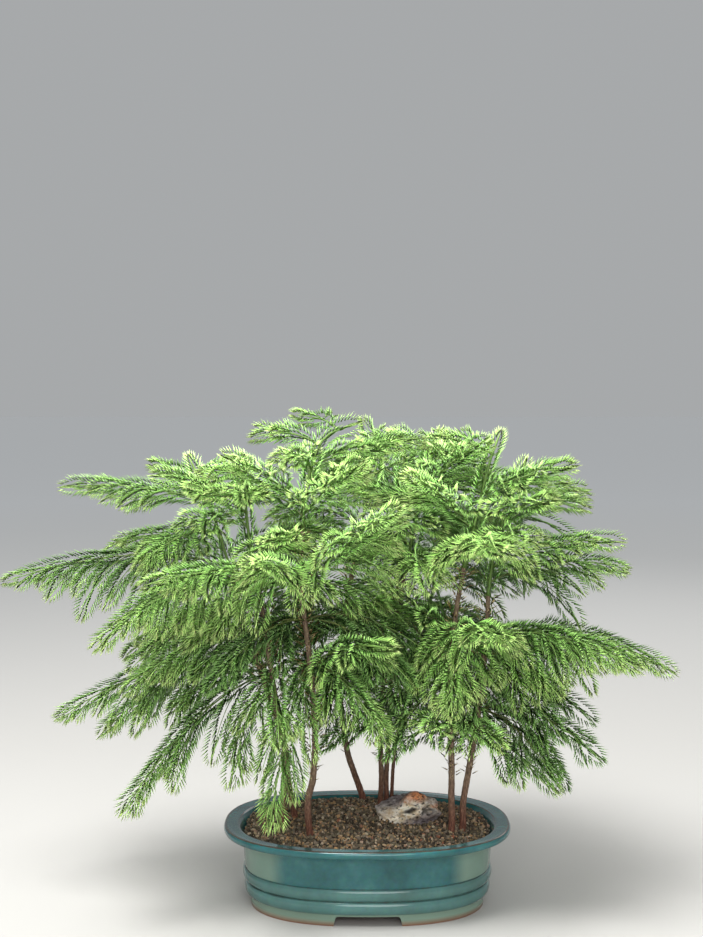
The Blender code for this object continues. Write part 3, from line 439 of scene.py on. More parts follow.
def shaded_soil_bed():
    """What lies under the grains: the same mix, finer and darker, with painted shade in the gaps between its
    crumbs.
    """
    made, tree, shader = new_material("shaded_soil_bed", Roughness=0.9)
    place = add_node(tree, "TexCoord").outputs["Object"]
    crumbs = add_node(tree, "TexVoronoi", {"Vector": place, "Scale": 420.0})
    # Painted shade: each crumb darkens from its middle to the gaps round it.
    colour = add_node(tree, "ValToRGB", {"Fac": crumbs}, [(0.0, "#4a3d2f"), (0.7, "#1e1812")])
    bump = add_node(tree, "Bump", {"Strength": 0.8, "Distance": 0.001, "Height": crumbs}, invert=True)
    feed(shader, {"Base Color": colour, "Normal": bump})
    return made


def weathered_stone():
    """A rough iron-stained stone: rusty top, a cream quartz band with dark pits, and grey-violet ends."""
    made, tree, shader = new_material("weathered_stone", Roughness=0.8)
    place = add_node(tree, "TexCoord").outputs["Object"]
    rusty, creamy, hollow = painted(tree, "stain")
    cloud = add_node(tree, "TexNoise", {"Vector": place, "Scale": 150.0, "Detail": 8.0, "Roughness": 0.7})
    grit = add_node(tree, "TexNoise", {"Vector": place, "Scale": 700.0, "Detail": 5.0, "Roughness": 0.75})
    grey, cream, rust = (
        add_node(tree, "ValToRGB", {"Fac": cloud}, stops)
        for stops in (
            [(0.3, "#463d40"), (0.5, "#756a6c"), (0.7, "#a99fa0")],
            [(0.3, "#9a6f4c"), (0.42, "#e8cfa8"), (0.58, "#fff6e6")],
            [(0.3, "#8a4f30"), (0.5, "#cf8656"), (0.7, "#eab68c")],
        )
    )
    banded = add_node(tree, "MixRGB", {"Fac": creamy, "Color1": grey, "Color2": cream})
    stained = add_node(tree, "MixRGB", {"Fac": rusty, "Color1": banded, "Color2": rust})
    pitted = add_node(tree, "MixRGB", {"Fac": hollow, "Color1": stained, "Color2": linear("#150f0c")})
    gritty = add_node(tree, "MixRGB", {"Fac": 0.2, "Color1": pitted, "Color2": grit}, blend_type="OVERLAY")
    bump = add_node(tree, "Bump", {"Strength": 0.6, "Distance": 0.0006, "Height": grit})
    feed(shader, {"Base Color": gritty, "Normal": bump})
    return made


def flaking_bark():
    """Thin young bark: red-brown near the soil and grey-brown above, in fine upright flakes."""
    made, tree, shader = new_material("flaking_bark", Roughness=0.82)
    place = add_node(tree, "TexCoord").outputs["Object"]
    upright = add_node(tree, "Mapping", {"Vector": place, "Scale": (1.0, 1.0, 0.22)})
    flaky = {"Vector": upright, "Scale": 900.0, "Detail": 5.0, "Roughness": 0.65}
    flakes = add_node(tree, "TexNoise", flaky)
    low, high = (
        add_node(tree, "ValToRGB", {"Fac": flakes}, stops)
        for stops in (
            [(0.3, "#3c2018"), (0.52, "#6b4030"), (0.72, "#9a6a52")],
            [(0.3, "#44352a"), (0.52, "#77624f"), (0.72, "#a8937c")],
        )
    )
    mixed = add_node(tree, "MixRGB", {"Fac": painted(tree, "leaf")[0], "Color1": low, "Color2": high})
    bump = add_node(tree, "Bump", {"Strength": 0.7, "Distance": 0.0005, "Height": flakes})
    feed(shader, {"Base Color": mixed, "Normal": bump})
    return made


def growth(name, roughness, stops):
    """Growth in the colour of its age and painted light. Each needle differs a little, is darkened towards
    its root with painted shade, and pales towards its point.
    """
    made, tree, shader = new_material(name, Roughness=roughness)
    age_and_light, own, along = painted(tree, "leaf")
    aged_and_lit = add_node(tree, "ValToRGB", {"Fac": age_and_light}, stops)
    differs = add_node(tree, "MapRange", {"Value": own, "To Min": 0.8, "To Max": 1.2})
    # Painted shade: each needle is darkened towards its root, where the needles crowd round the twig, and
    # the twigs, at the root end, are darkened most.
    root_shade = add_node(tree, "MapRange", {"Value": along, "From Max": 0.6, "To Min": 0.44, "To Max": 1.12})
    value = add_node(tree, "Math", {0: differs, 1: root_shade}, operation="MULTIPLY")
    point = add_node(tree, "MapRange", {"Value": along, "To Max": 0.3})
    paler = add_node(tree, "MixRGB", {"Fac": point, "Color1": aged_and_lit, "Color2": linear("#d9f2a4")})
    varied = add_node(tree, "HueSaturation", {"Color": paler, "Value": value})
    feed(shader, {"Base Color": varied})
    return made


def green_needles():
    """Soft juvenile needles: deep green where they are old and where shade is painted, yellow-green at
    growing ends and where light is painted in front, faintly waxy.
    """
    stops = [(0.0, "#28561f"), (0.3, "#5d9c40"), (0.6, "#a2e26c"), (0.85, "#d0ff8c"), (1.0, "#e8ffa2")]
    return growth("green_needles", 0.45, stops)


def green_twig():
    """Young wood: green-brown and rough with leaf bases near the trunk, bright green at the end."""
    stops = [(0.0, "#8a8048"), (0.15, "#84a44c"), (0.5, "#98cc5e"), (1.0, "#c8f27a")]
    return growth("green_twig", 0.6, stops)


def withered_needles():
    """Last year's small needles, left on the trunk: dull olive going brown."""
    return growth("withered_needles", 0.75, [(0.0, "#9a6644"), (0.5, "#c89d6c"), (1.0, "#b4c070")])


# Curves in space


def tree_of(piece):
    return piece.rsplit("_", 1)[0]


def curve_points(corners, step):
    """Points about one step apart on a smooth curve through the corners."""
    ends = [2 * corners[0] - corners[1], *corners, 2 * corners[-1] - corners[-2]]
    points = []
    for before, start, stop, after in zip(ends, ends[1:], ends[2:], ends[3:]):
        parts = max(1, round((stop - start).length / step))
        for part in range(parts):
            u = part / parts
            points.append(
                0.5
                * (
                    2 * start
                    + (stop - before) * u
                    + (2 * before - 5 * start + 4 * stop - after) * u * u
                    + (3 * start - before - 3 * stop + after) * u * u * u
                )
            )
    return [*points, corners[-1].copy()]


def lengths_of(points):
    """How far along the curve each of its points lies."""
    along = [0.0]
    for start, stop in zip(points, points[1:]):
        along.append(along[-1] + (stop - start).length)
    return along


def place_on(points, along, distance):
    """The place and direction at this distance along the curve."""
    for index in range(1, len(points)):
        if distance <= along[index] or index == len(points) - 1:
            run = along[index] - along[index - 1]
            heading = (points[index] - points[index - 1]).normalized()
            return points[index - 1] + heading * min(distance - along[index - 1], run), heading


def trunk_corners(tree):
    corners = [Vector(corner) * MM for corner in TREES[tree][0]]
    foot = corners[0]
    root = Vector((foot.x * ROOT_INWARD, foot.y * ROOT_INWARD, foot.z - ROOT_DEPTH))
    return [root, *corners]


def trunk_width(tree, share):
    """The trunk's radius at this share of its length."""
    radius = TRUNK_RADIUS.get(tree, USUAL_TRUNK_RADIUS) * MM
    return radius * (1 - (1 - TRUNK_TAPER) * share)


def frond_line(start, tip, arch):
    """A frond's line: it leaves the stem rising, and its end hangs."""
    middle = start.lerp(tip, FROND_BEND) + Vector((0, 0, arch * MM))
    parts = max(FROND_LEAST_PARTS, round((tip - start).length / SHOOT_STEP))
    return [
        start.lerp(middle, part / parts).lerp(middle.lerp(tip, part / parts), part / parts)
        for part in range(parts + 1)
    ]


def lateral_lines(line, seed):
    """A frond's side shoots, left and right in turn and shorter towards its tip. The low ones hang."""
    draw = random.Random(seed)
    along = lengths_of(line)
    lines = []
    for index in range(int((along[-1] - LATERAL_FIRST - LATERAL_LAST) / LATERAL_STEP) + 1):
        lean, stretch = draw.uniform(*LATERAL_LEAN), draw.uniform(*LATERAL_STRETCH)
        roll = draw.uniform(*LATERAL_ROLL)
        distance = LATERAL_FIRST + index * LATERAL_STEP
        root, heading = place_on(line, along, distance)
        low, high = HANG_HEIGHTS
        share = min(max((root.z - low) / (high - low), 0), 1)
        roll += LATERAL_LIFT * share
        lean *= 1 - LATERAL_CLOSE * max(0, -heading.z)
        hand = -1 if index % 2 else 1
        side = heading.cross(UP)
        side = (side.normalized() if side.length > 0.1 else Vector((1, 0, 0))) * hand
        side = side * math.cos(roll) + side.cross(heading) * math.sin(roll) * hand
        way = heading * math.cos(lean) + side * math.sin(lean)
        length = LATERAL_SHARE * (along[-1] - distance) * stretch
        length = min(max(length, LATERAL_LEAST), LATERAL_MOST)
        parts = max(LATERAL_LEAST_PARTS, round(length / SHOOT_STEP))
        hang = UP * (HANG_STEPS[0] + (HANG_STEPS[1] - HANG_STEPS[0]) * share)
        points = [root]
        for _ in range(parts):
            way = (way - hang).normalized()
            points.append(points[-1] + way * length / parts)
        lines.append(points)
    return lines


class Room:
    """Keeps the places that fronds and trunks already fill, so that the fronds turn as the solids' do."""

    def __init__(self):
        self.taken = []

    def fill(self, piece, frond, line, room):
        self.taken += [(piece, frond, point, room) for point in line]

    def is_free(self, piece, frond, line, stem):
        """True where this line keeps its room from other pieces, and from other fronds of its own."""
        own_tree = tree_of(piece)
        for point in line:
            near_stem = (point - stem).length < FREE_NEAR_STEM
            for other, owner, place, room in self.taken:
                if owner == frond or (near_stem and other.startswith(own_tree)):
                    continue
                least = SIBLING_ROOM if other == piece else room
                if abs(point.x - place.x) < least and (point - place).length < least:
                    return False
        return True


def clear_frond(room, piece, frond, start, tip, arch, turns=TURNS, shares=(1,)):
    """The frond's line, turned about its stem, lifted or shortened where it would cross another piece."""
    for share in shares:
        for lift in LIFTS:
            for turn in turns:
                arm = Matrix.Rotation(math.radians(turn), 3, "Z") @ (tip - start) * share
                line = frond_line(start, start + arm + Vector((0, 0, lift * MM)), arch)
                if room.is_free(piece, frond, line, start):
                    return line
    return None


def plan_fronds(room, piece, places):
    """The lines of every frond of one piece."""
    planned = []
    for number, (start, tip, arch) in enumerate(places, 1):
        frond = f"{piece}_{number}"
        line = clear_frond(room, piece, frond, start, Vector(tip) * MM, arch)
        if line:
            planned.append((frond, line))
            room.fill(piece, frond, line, SHOOT_ROOM)
    return planned


def whorl_stem(piece):
    """The trunk's middle where a whorl grows."""
    points = curve_points(trunk_corners(tree_of(piece))[1:], TRUNK_STEP)
    return min(points, key=lambda point: abs(point.z - WHORLS[piece][0] * MM))


def leader_line(tree):
    brown, green = TREES[tree]
    points = [Vector(corner) * MM for corner in brown[-2:] + green]
    line = curve_points(points, SHOOT_STEP)
    first = min(range(len(line)), key=lambda i: (line[i] - points[1]).length_squared)
    return line[first:]


def frond_places(piece):
    """Where the fronds of a whorl or a leader leave it, with their tips and arches."""
    if piece in WHORLS:
        return [(whorl_stem(piece), tip, arch) for tip, arch in WHORLS[piece][1]]
    line = leader_line(tree_of(piece))
    along = lengths_of(line)
    return [(place_on(line, along, share * along[-1])[0], tip, arch) for share, tip, arch in LEADERS[piece]]


def inner_stem(piece, share):
    """Where a further frond at this share of the height leaves, its rise and its relative reach."""
    if piece in WHORLS:
        return whorl_stem(piece), -INNER_FALL, 1
    line = leader_line(tree_of(piece))
    along = lengths_of(line)
    low, high = INNER_SHARES
    place, _ = place_on(line, along, (low + (high - low) * share) * along[-1])
    return place, INNER_RISE, INNER_TAPER[0] + (INNER_TAPER[1] - INNER_TAPER[0]) * share


def inner_places(piece, planned):
    """Where a piece's further fronds leave its stem: each goes into the widest gap round it."""
    count, reach = INNER[piece]
    draw = random.Random(piece)
    angles = [math.atan2(line[-1].y - line[0].y, line[-1].x - line[0].x) for _, line in planned]
    angles = sorted(angles) or [draw.uniform(-math.pi, math.pi)]
    places = []
    for number in range(count):
        after = angles[1:] + angles[:1]
        gaps = [(end - start) % math.tau or math.tau for start, end in zip(angles, after)]
        widest = gaps.index(max(gaps))
        angle = angles[widest] + gaps[widest] / 2 + draw.uniform(-INNER_TURN_DIFFERS, INNER_TURN_DIFFERS)
        angles = sorted([*angles, (angle + math.pi) % math.tau - math.pi])
        stem, rise, taper = inner_stem(piece, number / max(1, count - 1))
        far = reach * taper * draw.uniform(*INNER_REACHES) * MM
        tip = stem + Vector((math.cos(angle) * far, math.sin(angle) * far, rise * far))
        places.append((stem, tip, INNER_ARCH * far / MM))
    return places


def plan_inner(room, plans):
    """Adds each piece's further fronds where they find room, one for every piece in turn."""
    further = {piece: inner_places(piece, planned) for piece, planned in plans.items()}
    for number in range(max(len(places) for places in further.values())):
        for piece, places in further.items():
            if number >= len(places):
                continue
            start, tip, arch = places[number]
            frond = f"{piece}_inner_{number + 1}"
            line = clear_frond(room, piece, frond, start, tip, arch, INNER_TURNS, INNER_CUTS)
            if line:
                plans[piece].append((frond, line))
                room.fill(piece, frond, line, SHOOT_ROOM)


def plan_grove():
    """Every frond's line in every piece, planned in the solids' own order."""
    room = Room()
    for tree in TREES:
        room.fill(tree + "_trunk", tree, curve_points(trunk_corners(tree), TRUNK_STEP), TRUNK_ROOM)
        room.fill(tree + "_top", tree, leader_line(tree), SHOOT_ROOM)
    places = {piece: frond_places(piece) for piece in [*WHORLS, *LEADERS]}
    for piece, starts in places.items():
        stems = [whorl_stem(piece)] if piece in WHORLS else [start for start, _, _ in starts]
        room.fill(piece, piece, stems, WHORL_ROOM)
    plans = {piece: plan_fronds(room, piece, starts) for piece, starts in places.items()}
    plan_inner(room, plans)
    return plans


# Modelling


def deselect():
    bpy.ops.object.select_all(action="DESELECT")


def take(name):
    """Names the object that an operator just added, and returns it."""
    made = bpy.context.object
    made.name = made.data.name = name
    return made


def pick(made):
    """Makes this object the only one that operators act on."""
    deselect()
    made.select_set(True)
    bpy.context.view_layer.objects.active = made


def settle(made):
    """Puts an object's place into its mesh, so that the object itself sits at the origin."""
    pick(made)
    bpy.ops.object.transform_apply(location=True, rotation=True, scale=True)


def smooth(made, degrees):
    pick(made)
    bpy.ops.object.shade_smooth_by_angle(angle=math.radians(degrees))


def corners_of(made):
    corners = np.empty(len(made.data.vertices) * 3, np.float32)
    made.data.vertices.foreach_get("co", corners)
    return corners.reshape(-1, 3).astype(float)


def move_corners(made, corners):
    made.data.vertices.foreach_set("co", np.asarray(corners, np.float32).ravel())
    made.data.update()


def triangles_of(made):
    made.data.calc_loop_triangles()
    faces = np.empty(len(made.data.loop_triangles) * 3, np.int32)
    made.data.loop_triangles.foreach_get("vertices", faces)
    return faces.reshape(-1, 3)


def tint(made, name, colours):
    """Stores a colour for each corner point of a mesh, which its material reads."""
    layer = made.data.attributes.new(name, "FLOAT_COLOR", "POINT")
    channels = np.ones((len(made.data.vertices), 4), np.float32)
    channels[:, : colours.shape[1]] = colours
    layer.data.foreach_set("color", channels.ravel())


def dress(made, slot, *materials):
    """Gives a finished piece its materials and its body; the finish it stands for, slot, is not used."""
    for material in materials:
        made.data.materials.append(material)
    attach(made, "root")


def mesh_piece(name, corners, faces, finishes=None):
    """A smooth-shaded piece from many joined copies: corners about the pot, triangles and finishes."""
    mesh = bpy.data.meshes.new(name)
    mesh.from_pydata((corners + np.array(POT)).tolist(), [], faces.tolist())
    if finishes is not None:
        mesh.polygons.foreach_set("material_index", finishes.astype(np.int32))
    mesh.polygons.foreach_set("use_smooth", np.ones(len(faces), bool))
    mesh.update()
    made = bpy.data.objects.new(name, mesh)
    bpy.context.collection.objects.link(made)
    return made


class Copies:
    """Gathers copies of shapes, with their tints and finishes, to become one mesh."""

    def __init__(self):
        self.corners, self.faces, self.tints, self.finishes = [], [], [], []
        self.count = 0

    def add(self, corners, faces, tints, finish):
        self.corners.append(corners)
        self.faces.append(faces + self.count)
        self.tints.append(tints)
        self.finishes.append(np.full(len(faces), finish))
        self.count += len(corners)

    def piece(self, name, attribute):
        made = mesh_piece(
            name, np.concatenate(self.corners), np.concatenate(self.faces), np.concatenate(self.finishes)
        )
        tint(made, attribute, np.concatenate(self.tints))
        return made


# The pot


def band(top_inset, top_height, low_inset, low_height, swell):
    """The rounded outside of one raised band, from the groove above it to the groove below."""
    points = [(top_inset, top_height)]
    for step in range(1, BAND_STEPS):
        angle = math.pi * step / BAND_STEPS
        inset = top_inset + (low_inset - top_inset) * step / BAND_STEPS - swell * math.sin(angle)
        height = top_height + (low_height - top_height) * (0.5 - 0.5 * math.cos(angle))
        points.append((inset, height))
    return [*points, (low_inset, low_height)]


def oval_point(angle, inset):
    """The pot's plan at this angle, a given inset in from the lip's outermost line."""
    power = 2 / POT_FULLNESS
    across, deep = math.cos(angle), math.sin(angle)
    x = math.copysign(abs(across) ** power, across) * (POT_HALF_LENGTH - inset)
    y = math.copysign(abs(deep) ** power, deep) * (POT_HALF_DEPTH - inset)
    return x, y


def insets_of(corners):
    """How far in from the lip's outermost line each point about the pot lies."""
    low = np.full(len(corners), -4 * MM)
    high = np.full(len(corners), POT_HALF_DEPTH - MM)
    for _ in range(20):
        inset = (low + high) / 2
        across = np.abs(corners[:, 0]) / (POT_HALF_LENGTH - inset)
        deep = np.abs(corners[:, 1]) / (POT_HALF_DEPTH - inset)
        inside = across**POT_FULLNESS + deep**POT_FULLNESS < 1
        low, high = np.where(inside, inset, low), np.where(inside, high, inset)
    return inset


def draw_rings(profile):
    """Draws one oval ring out along a profile, through each of its points, and closes both ends."""
    inset, height = profile[0]
    deselect()
    bpy.ops.mesh.primitive_circle_add(
        vertices=POT_SIDES, radius=1, fill_type="NGON", location=(0, 0, height)
    )
    made = bpy.context.object
    for number, vertex in enumerate(made.data.vertices):
        vertex.co = (*oval_point(2 * math.pi * number / POT_SIDES, inset), 0)
    bpy.ops.object.mode_set(mode="EDIT")
    bpy.ops.mesh.select_all(action="SELECT")
    for next_inset, next_height in profile[1:]:
        bpy.ops.mesh.extrude_region_move(TRANSFORM_OT_translate={"value": (0, 0, next_height - height)})
        bpy.ops.transform.resize(
            value=(
                (POT_HALF_LENGTH - next_inset) / (POT_HALF_LENGTH - inset),
                (POT_HALF_DEPTH - next_inset) / (POT_HALF_DEPTH - inset),
                1,
            ),
            center_override=(0, 0, next_height),
        )
        inset, height = next_inset, next_height
    bpy.ops.mesh.select_all(action="SELECT")
    bpy.ops.mesh.normals_make_consistent(inside=False)
    bpy.ops.object.mode_set(mode="OBJECT")
    return made


def foot_cutter(widths, length, turned):
    """A bar under the pot with sloping sides and round upper edges."""
    deselect()
    bpy.ops.mesh.primitive_cube_add(size=1)
    cutter = take("foot_cut")
    top, bottom = widths
    for corner in cutter.data.vertices:
        over = corner.co.z > 0
        across = math.copysign((top if over else bottom) / 2, corner.co.x)
        deep = math.copysign(length / 2, corner.co.y)
        corner.co = (across, deep, FOOT_CUT_HEIGHT if over else -FOOT_CUT_HEIGHT)
    for edge in cutter.data.edges:
        start, stop = (cutter.data.vertices[i].co for i in edge.vertices)
        edge.select = start.z > 0 and stop.z > 0 and start.x * stop.x > 0
    bpy.ops.object.mode_set(mode="EDIT")
    bpy.ops.mesh.select_mode(type="EDGE")
    bpy.ops.mesh.bevel(offset=FOOT_CUT_ROUND, segments=4)
    bpy.ops.object.mode_set(mode="OBJECT")
    if turned:
        cutter.rotation_euler.z = math.pi / 2
    return cutter


def drain_cutter(side):
    deselect()
    bpy.ops.mesh.primitive_cylinder_add(
        vertices=32, radius=DRAIN_RADIUS, depth=DRAIN_CUT, location=(side * DRAIN_PLACE, 0, FLOOR_OVER * MM)
    )
    return take("drain")


def cut(made, cutters):
    for cutter in cutters:
        boolean = made.modifiers.new("cut", "BOOLEAN")
        boolean.operation = "DIFFERENCE"
        boolean.solver = "EXACT"
        boolean.object = cutter
    pick(made)
    for modifier in list(made.modifiers):
        bpy.ops.object.modifier_apply(modifier=modifier.name)
    for cutter in cutters:
        bpy.data.objects.remove(cutter)


def ridge(values, middle, width):
    """1 at the middle, falling to 0 at one width on either side."""
    return np.clip(1 - np.abs(values - middle) / width, 0, 1)


def make_pot():
    """One ring drawn out along the pot's profile, with its drains and the gaps between its feet cut."""
    profile = [*POT_INSIDE, *POT_LIP, *POT_PANEL, *band(*BAND_UPPER), *band(*BAND_LOWER), *POT_FOOT]
    pot = draw_rings([(inset * MM, height * MM) for inset, height in profile])
    pot.name = pot.data.name = "glazed_pot"
    settle(pot)
    cut(pot, [
        foot_cutter(FOOT_CUT_FRONT, 3 * POT_HALF_DEPTH, turned=False),
        foot_cutter(FOOT_CUT_END, 3 * POT_HALF_LENGTH, turned=True),
        drain_cutter(-1),
        drain_cutter(1),
    ])
    corners = corners_of(pot)
    inset, height = insets_of(corners) / MM, corners[:, 2] / MM
    outer = inset < OUTSIDE
    thin_and_groove_shade = [
        strength * ridge(np.hypot(inset - edge, height - level), 0, width)
        for edge, level, width, strength in WORN_EDGES
    ]
    # The grooves under the bands get painted shade, with some darker pooled glaze, in the same channel as
    # the thin edges.
    thin_and_groove_shade += [GROOVE_SHADE * outer * ridge(height, groove, GROOVE_WIDTH) for groove in GROOVES]
    # The foot, the bands and the panel's ends are paler: partly the glaze's celadon tone, partly painted
    # reflection.
    foot = np.clip((FOOT_TOP - height) / FOOT_BLEND, 0, FOOT_PALE)
    low, high = END_HEIGHTS
    ends = np.clip((np.abs(corners[:, 0]) / MM - END_FROM) / END_BLEND, 0, END_PALE)
    ends = ends * (height > low) * (height < high)
    pale = outer * np.max([foot, BANDS_PALE * (height < BAND_UPPER[1]), ends], axis=0)
    bare = np.clip((CLAY_TOP + CLAY_BLEND / 2 - height) / CLAY_BLEND, 0, 1)
    bare = np.maximum(bare, (inset > UNDER_INSET) & (height < UNDER_HEIGHT))
    tint(pot, "glaze", np.stack([np.max(thin_and_groove_shade, axis=0), pale, bare], 1))
    move_corners(pot, corners + np.array(POT))
    smooth(pot, 38)
    dress(pot, "glazed_stoneware", glazed_stoneware())
    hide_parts("pot")


# The soil


def soil_share(corners):
    """0 in the middle of the pot and 1 at the soil's edge."""
    across = np.abs(corners[:, 0]) / (POT_HALF_LENGTH - SOIL_EDGE)
    deep = np.abs(corners[:, 1]) / (POT_HALF_DEPTH - SOIL_EDGE)
    return (across**POT_FULLNESS + deep**POT_FULLNESS) ** (1 / POT_FULLNESS)


def soil_height(corners):
    """The mound's height under each point, with its small lumps."""
    lumps = [noise.noise(Vector((x, y, 0)) / SOIL_GRAIN) for x, y in corners[:, :2]]
    mound = SOIL_RIM_HEIGHT + SOIL_MOUND * (1 - np.minimum(soil_share(corners), 1) ** 2)
    return mound + SOIL_SLOPE * corners[:, 1] + SOIL_LUMP * np.array(lumps)


def make_soil_bed():
    """The packed soil that the grains lie on, down to the pot's floor."""
    rings = [(SOIL_EDGE / MM + step, SOIL_TOP) for step in SOIL_RINGS]
    bed = draw_rings([(inset * MM, height * MM) for inset, height in SOIL_WALL + rings])
    bed.name = bed.data.name = "soil_bed"
    settle(bed)
    corners = corners_of(bed)
    top = corners[:, 2] > (SOIL_TOP - 1) * MM
    corners[top, 2] = soil_height(corners[top]) - GRAIN_SMALL
    move_corners(bed, corners + np.array(POT))
    smooth(bed, 60)
    dress(bed, "soil_grains", shaded_soil_bed())
    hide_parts("soil")


def turned_at_random(draw, count):
    """Turns about random axes, as matrices."""
    w, x, y, z = draw.normal(size=(4, count))
    size = np.sqrt(w * w + x * x + y * y + z * z)
    w, x, y, z = w / size, x / size, y / size, z / size
    rows = [
        [1 - 2 * (y * y + z * z), 2 * (x * y - z * w), 2 * (x * z + y * w)],
        [2 * (x * y + z * w), 1 - 2 * (x * x + z * z), 2 * (y * z - x * w)],
        [2 * (x * z - y * w), 2 * (y * z + x * w), 1 - 2 * (x * x + y * y)],
    ]
    return np.moveaxis(np.array(rows), 2, 0)


def make_grains():
    """Angular crumbs of lava and baked clay, strewn over the whole bed."""
    deselect()
    bpy.ops.mesh.primitive_ico_sphere_add(subdivisions=1, radius=1)
    crumb = take("crumb")
    shape, faces = corners_of(crumb), triangles_of(crumb)
    bpy.data.objects.remove(crumb)
    draw = np.random.default_rng(7)
    across = np.arange(-POT_HALF_LENGTH, POT_HALF_LENGTH, GRAIN_PITCH)
    deep = np.arange(-POT_HALF_DEPTH, POT_HALF_DEPTH, GRAIN_PITCH)
    places = np.stack(np.meshgrid(across, deep), -1).reshape(-1, 2)
    places = places + draw.uniform(-GRAIN_SCATTER, GRAIN_SCATTER, places.shape) * GRAIN_PITCH
    places = np.column_stack([places, np.zeros(len(places))])
    near_rock = np.hypot(
        (places[:, 0] - ROCK_MIDDLE.x) / ROCK_HALF.x, (places[:, 1] - ROCK_MIDDLE.y) / ROCK_HALF.y
    )
    inside = insets_of(places) > SOIL_EDGE - GRAIN_OVER_EDGE
    places = places[inside & (near_rock > GRAIN_UNDER_ROCK)]
    count = len(places)
    size = draw.uniform(GRAIN_SMALL, GRAIN_LARGE, count) * draw.choice(GRAIN_COARSE, count)
    places[:, 2] = soil_height(places) + draw.uniform(*GRAIN_HEIGHTS, count) * MM
    stretch = draw.uniform(*GRAIN_STRETCH, (count, 1, 3))
    stretch = stretch * draw.uniform(*GRAIN_ANGULAR, (count, len(shape), 1))
    crumbs = np.einsum("nij,nvj->nvi", turned_at_random(draw, count), shape * stretch)
    corners = (crumbs * size[:, None, None] + places[:, None]).reshape(-1, 3)
    numbered = (faces[None] + (np.arange(count) * len(shape))[:, None, None]).reshape(-1, 3)
    grains = mesh_piece("soil_crumbs", corners, numbered)
    grains.data.polygons.foreach_set("use_smooth", np.zeros(len(numbered), bool))
    shade = np.repeat(draw.uniform(0, 1, count), len(shape))
    tint(grains, "grain", shade[:, None] * np.ones((1, 3)))
    dress(grains, "soil_grains", soil_grains())


# The stone


def flats(way):
    """How far out the stone reaches this way, where flats have been chipped off it."""
    return min(reach / max(way.dot(Vector(face).normalized()), 0.3) for face, reach in ROCK_FLATS)


def stain(x, s, name):
    """1 in the middle of an oval stain, falling to 0 outside it."""
    middle, half, slope = STAINS[name]
    across, high = (x - middle[0]) / half[0], (s - middle[1] - slope * (x - middle[0])) / half[1]
    return math.exp(-((across * across + high * high) ** 1.5))


def make_rock():
    """A lump of weathered stone with a ledge across its front, chipped to flats, pitted and stained."""
    deselect()
    bpy.ops.mesh.primitive_ico_sphere_add(subdivisions=6, radius=1)
    rock = take("weathered_rock")
    stains = []
    for vertex in rock.data.vertices:
        way = vertex.co.normalized()
        lump = noise.fractal(way * ROCK_GRAIN + ROCK_SEED, 0.9, 2.1, 3)
        ledge = ROCK_LEDGE * math.sin(7 * way.z + 2 * way.x) * max(0, -way.y)
        rough = noise.fractal(way * ROCK_ROUGH_GRAIN, 0.8, 2.2, 4)
        chips = noise.voronoi(way * ROCK_CHIP_GRAIN)[0]
        crack = max(0, ROCK_CRACK_WIDTH - (chips[1] - chips[0])) / ROCK_CRACK_WIDTH
        seen = 0.95 * way.z + 0.33 * way.y  # how high it looks from the front
        ragged = way.x + 0.22 * rough, seen + 0.16 * rough
        cream = stain(*ragged, "cream") * min(1, max(0, 0.6 - way.y) * 2)
        hollow = max(stain(*ragged, "hollow"), 0.9 * stain(*ragged, "right_hollow"))
        specks = noise.noise(way * ROCK_SPECK_GRAIN + ROCK_SPECK_SEED)
        specks = min(1, max(0, specks - 0.25) * 6)
        pit = max(hollow, 0.9 * specks, 0.5 * crack * (1 - cream) * (way.z > -0.5))
        rust = max(stain(*ragged, "rust"), 0.7 * stain(*ragged, "right_rust"))
        size = (1 + ROCK_LUMP * lump + ledge) * min(1, flats(way)) + ROCK_ROUGH * rough
        size -= CRACK_DEPTH * crack + HOLLOW_DEPTH * hollow * (way.y < 0) + SPECK_DEPTH * specks
        high = max(way.z * size + ROCK_PEAK * way.x, ROCK_BASE)
        vertex.co = Vector((way.x * size, way.y * size, high)) * ROCK_HALF + ROCK_MIDDLE + POT
        stains.append((rust, cream, min(1, pit)))
    tint(rock, "stain", np.array(stains))
    smooth(rock, 70)
    dress(rock, "weathered_stone", weathered_stone())
    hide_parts("rock")


# Trunks, twigs and needles


def carried(line):
    """A line's points, headings, two cross directions carried along without a twist, and its lengths."""
    points = np.array([tuple(point) for point in line])
    ways = np.gradient(points, axis=0)
    ways /= np.linalg.norm(ways, axis=1, keepdims=True)
    arm = np.cross(ways[0], (0, 0, 1))
    if np.linalg.norm(arm) < 0.2:
        arm = np.array((1.0, 0, 0))
    across = np.empty_like(points)
    for index, way in enumerate(ways):
        arm = arm - way * arm.dot(way)
        arm /= np.linalg.norm(arm)
        across[index] = arm
    return points, ways, across, np.cross(ways, across), np.array(lengths_of(line))


def read_at(distances, along, values):
    """Values along a line, read at these distances."""
    return np.stack([np.interp(distances, along, values[:, axis]) for axis in range(3)], 1)


def ring_faces(rings, sides):
    """The triangles of a tube with this many rings, closed at both ends."""
    first = np.arange(rings - 1)[:, None] * sides
    side = np.arange(sides)[None]
    after = (side + 1) % sides
    a, b, c, d = first + side, first + after, first + sides + after, first + sides + side
    walls = np.concatenate([np.stack([a, b, c], -1).reshape(-1, 3), np.stack([a, c, d], -1).reshape(-1, 3)])
    fan = np.array([(0, k + 1, k) for k in range(1, sides - 1)])
    return np.concatenate([walls, fan, fan[:, ::-1] + (rings - 1) * sides])


def tube(line, widths, sides):
    """A tube's corners along a carried line, with a width for each of its points."""
    points, _, across, upward, _ = line
    angle = 2 * np.pi * np.arange(sides) / sides
    ring = np.cos(angle)[None, :, None] * across[:, None] + np.sin(angle)[None, :, None] * upward[:, None]
    return points[:, None] + np.asarray(widths)[:, None, None] * ring


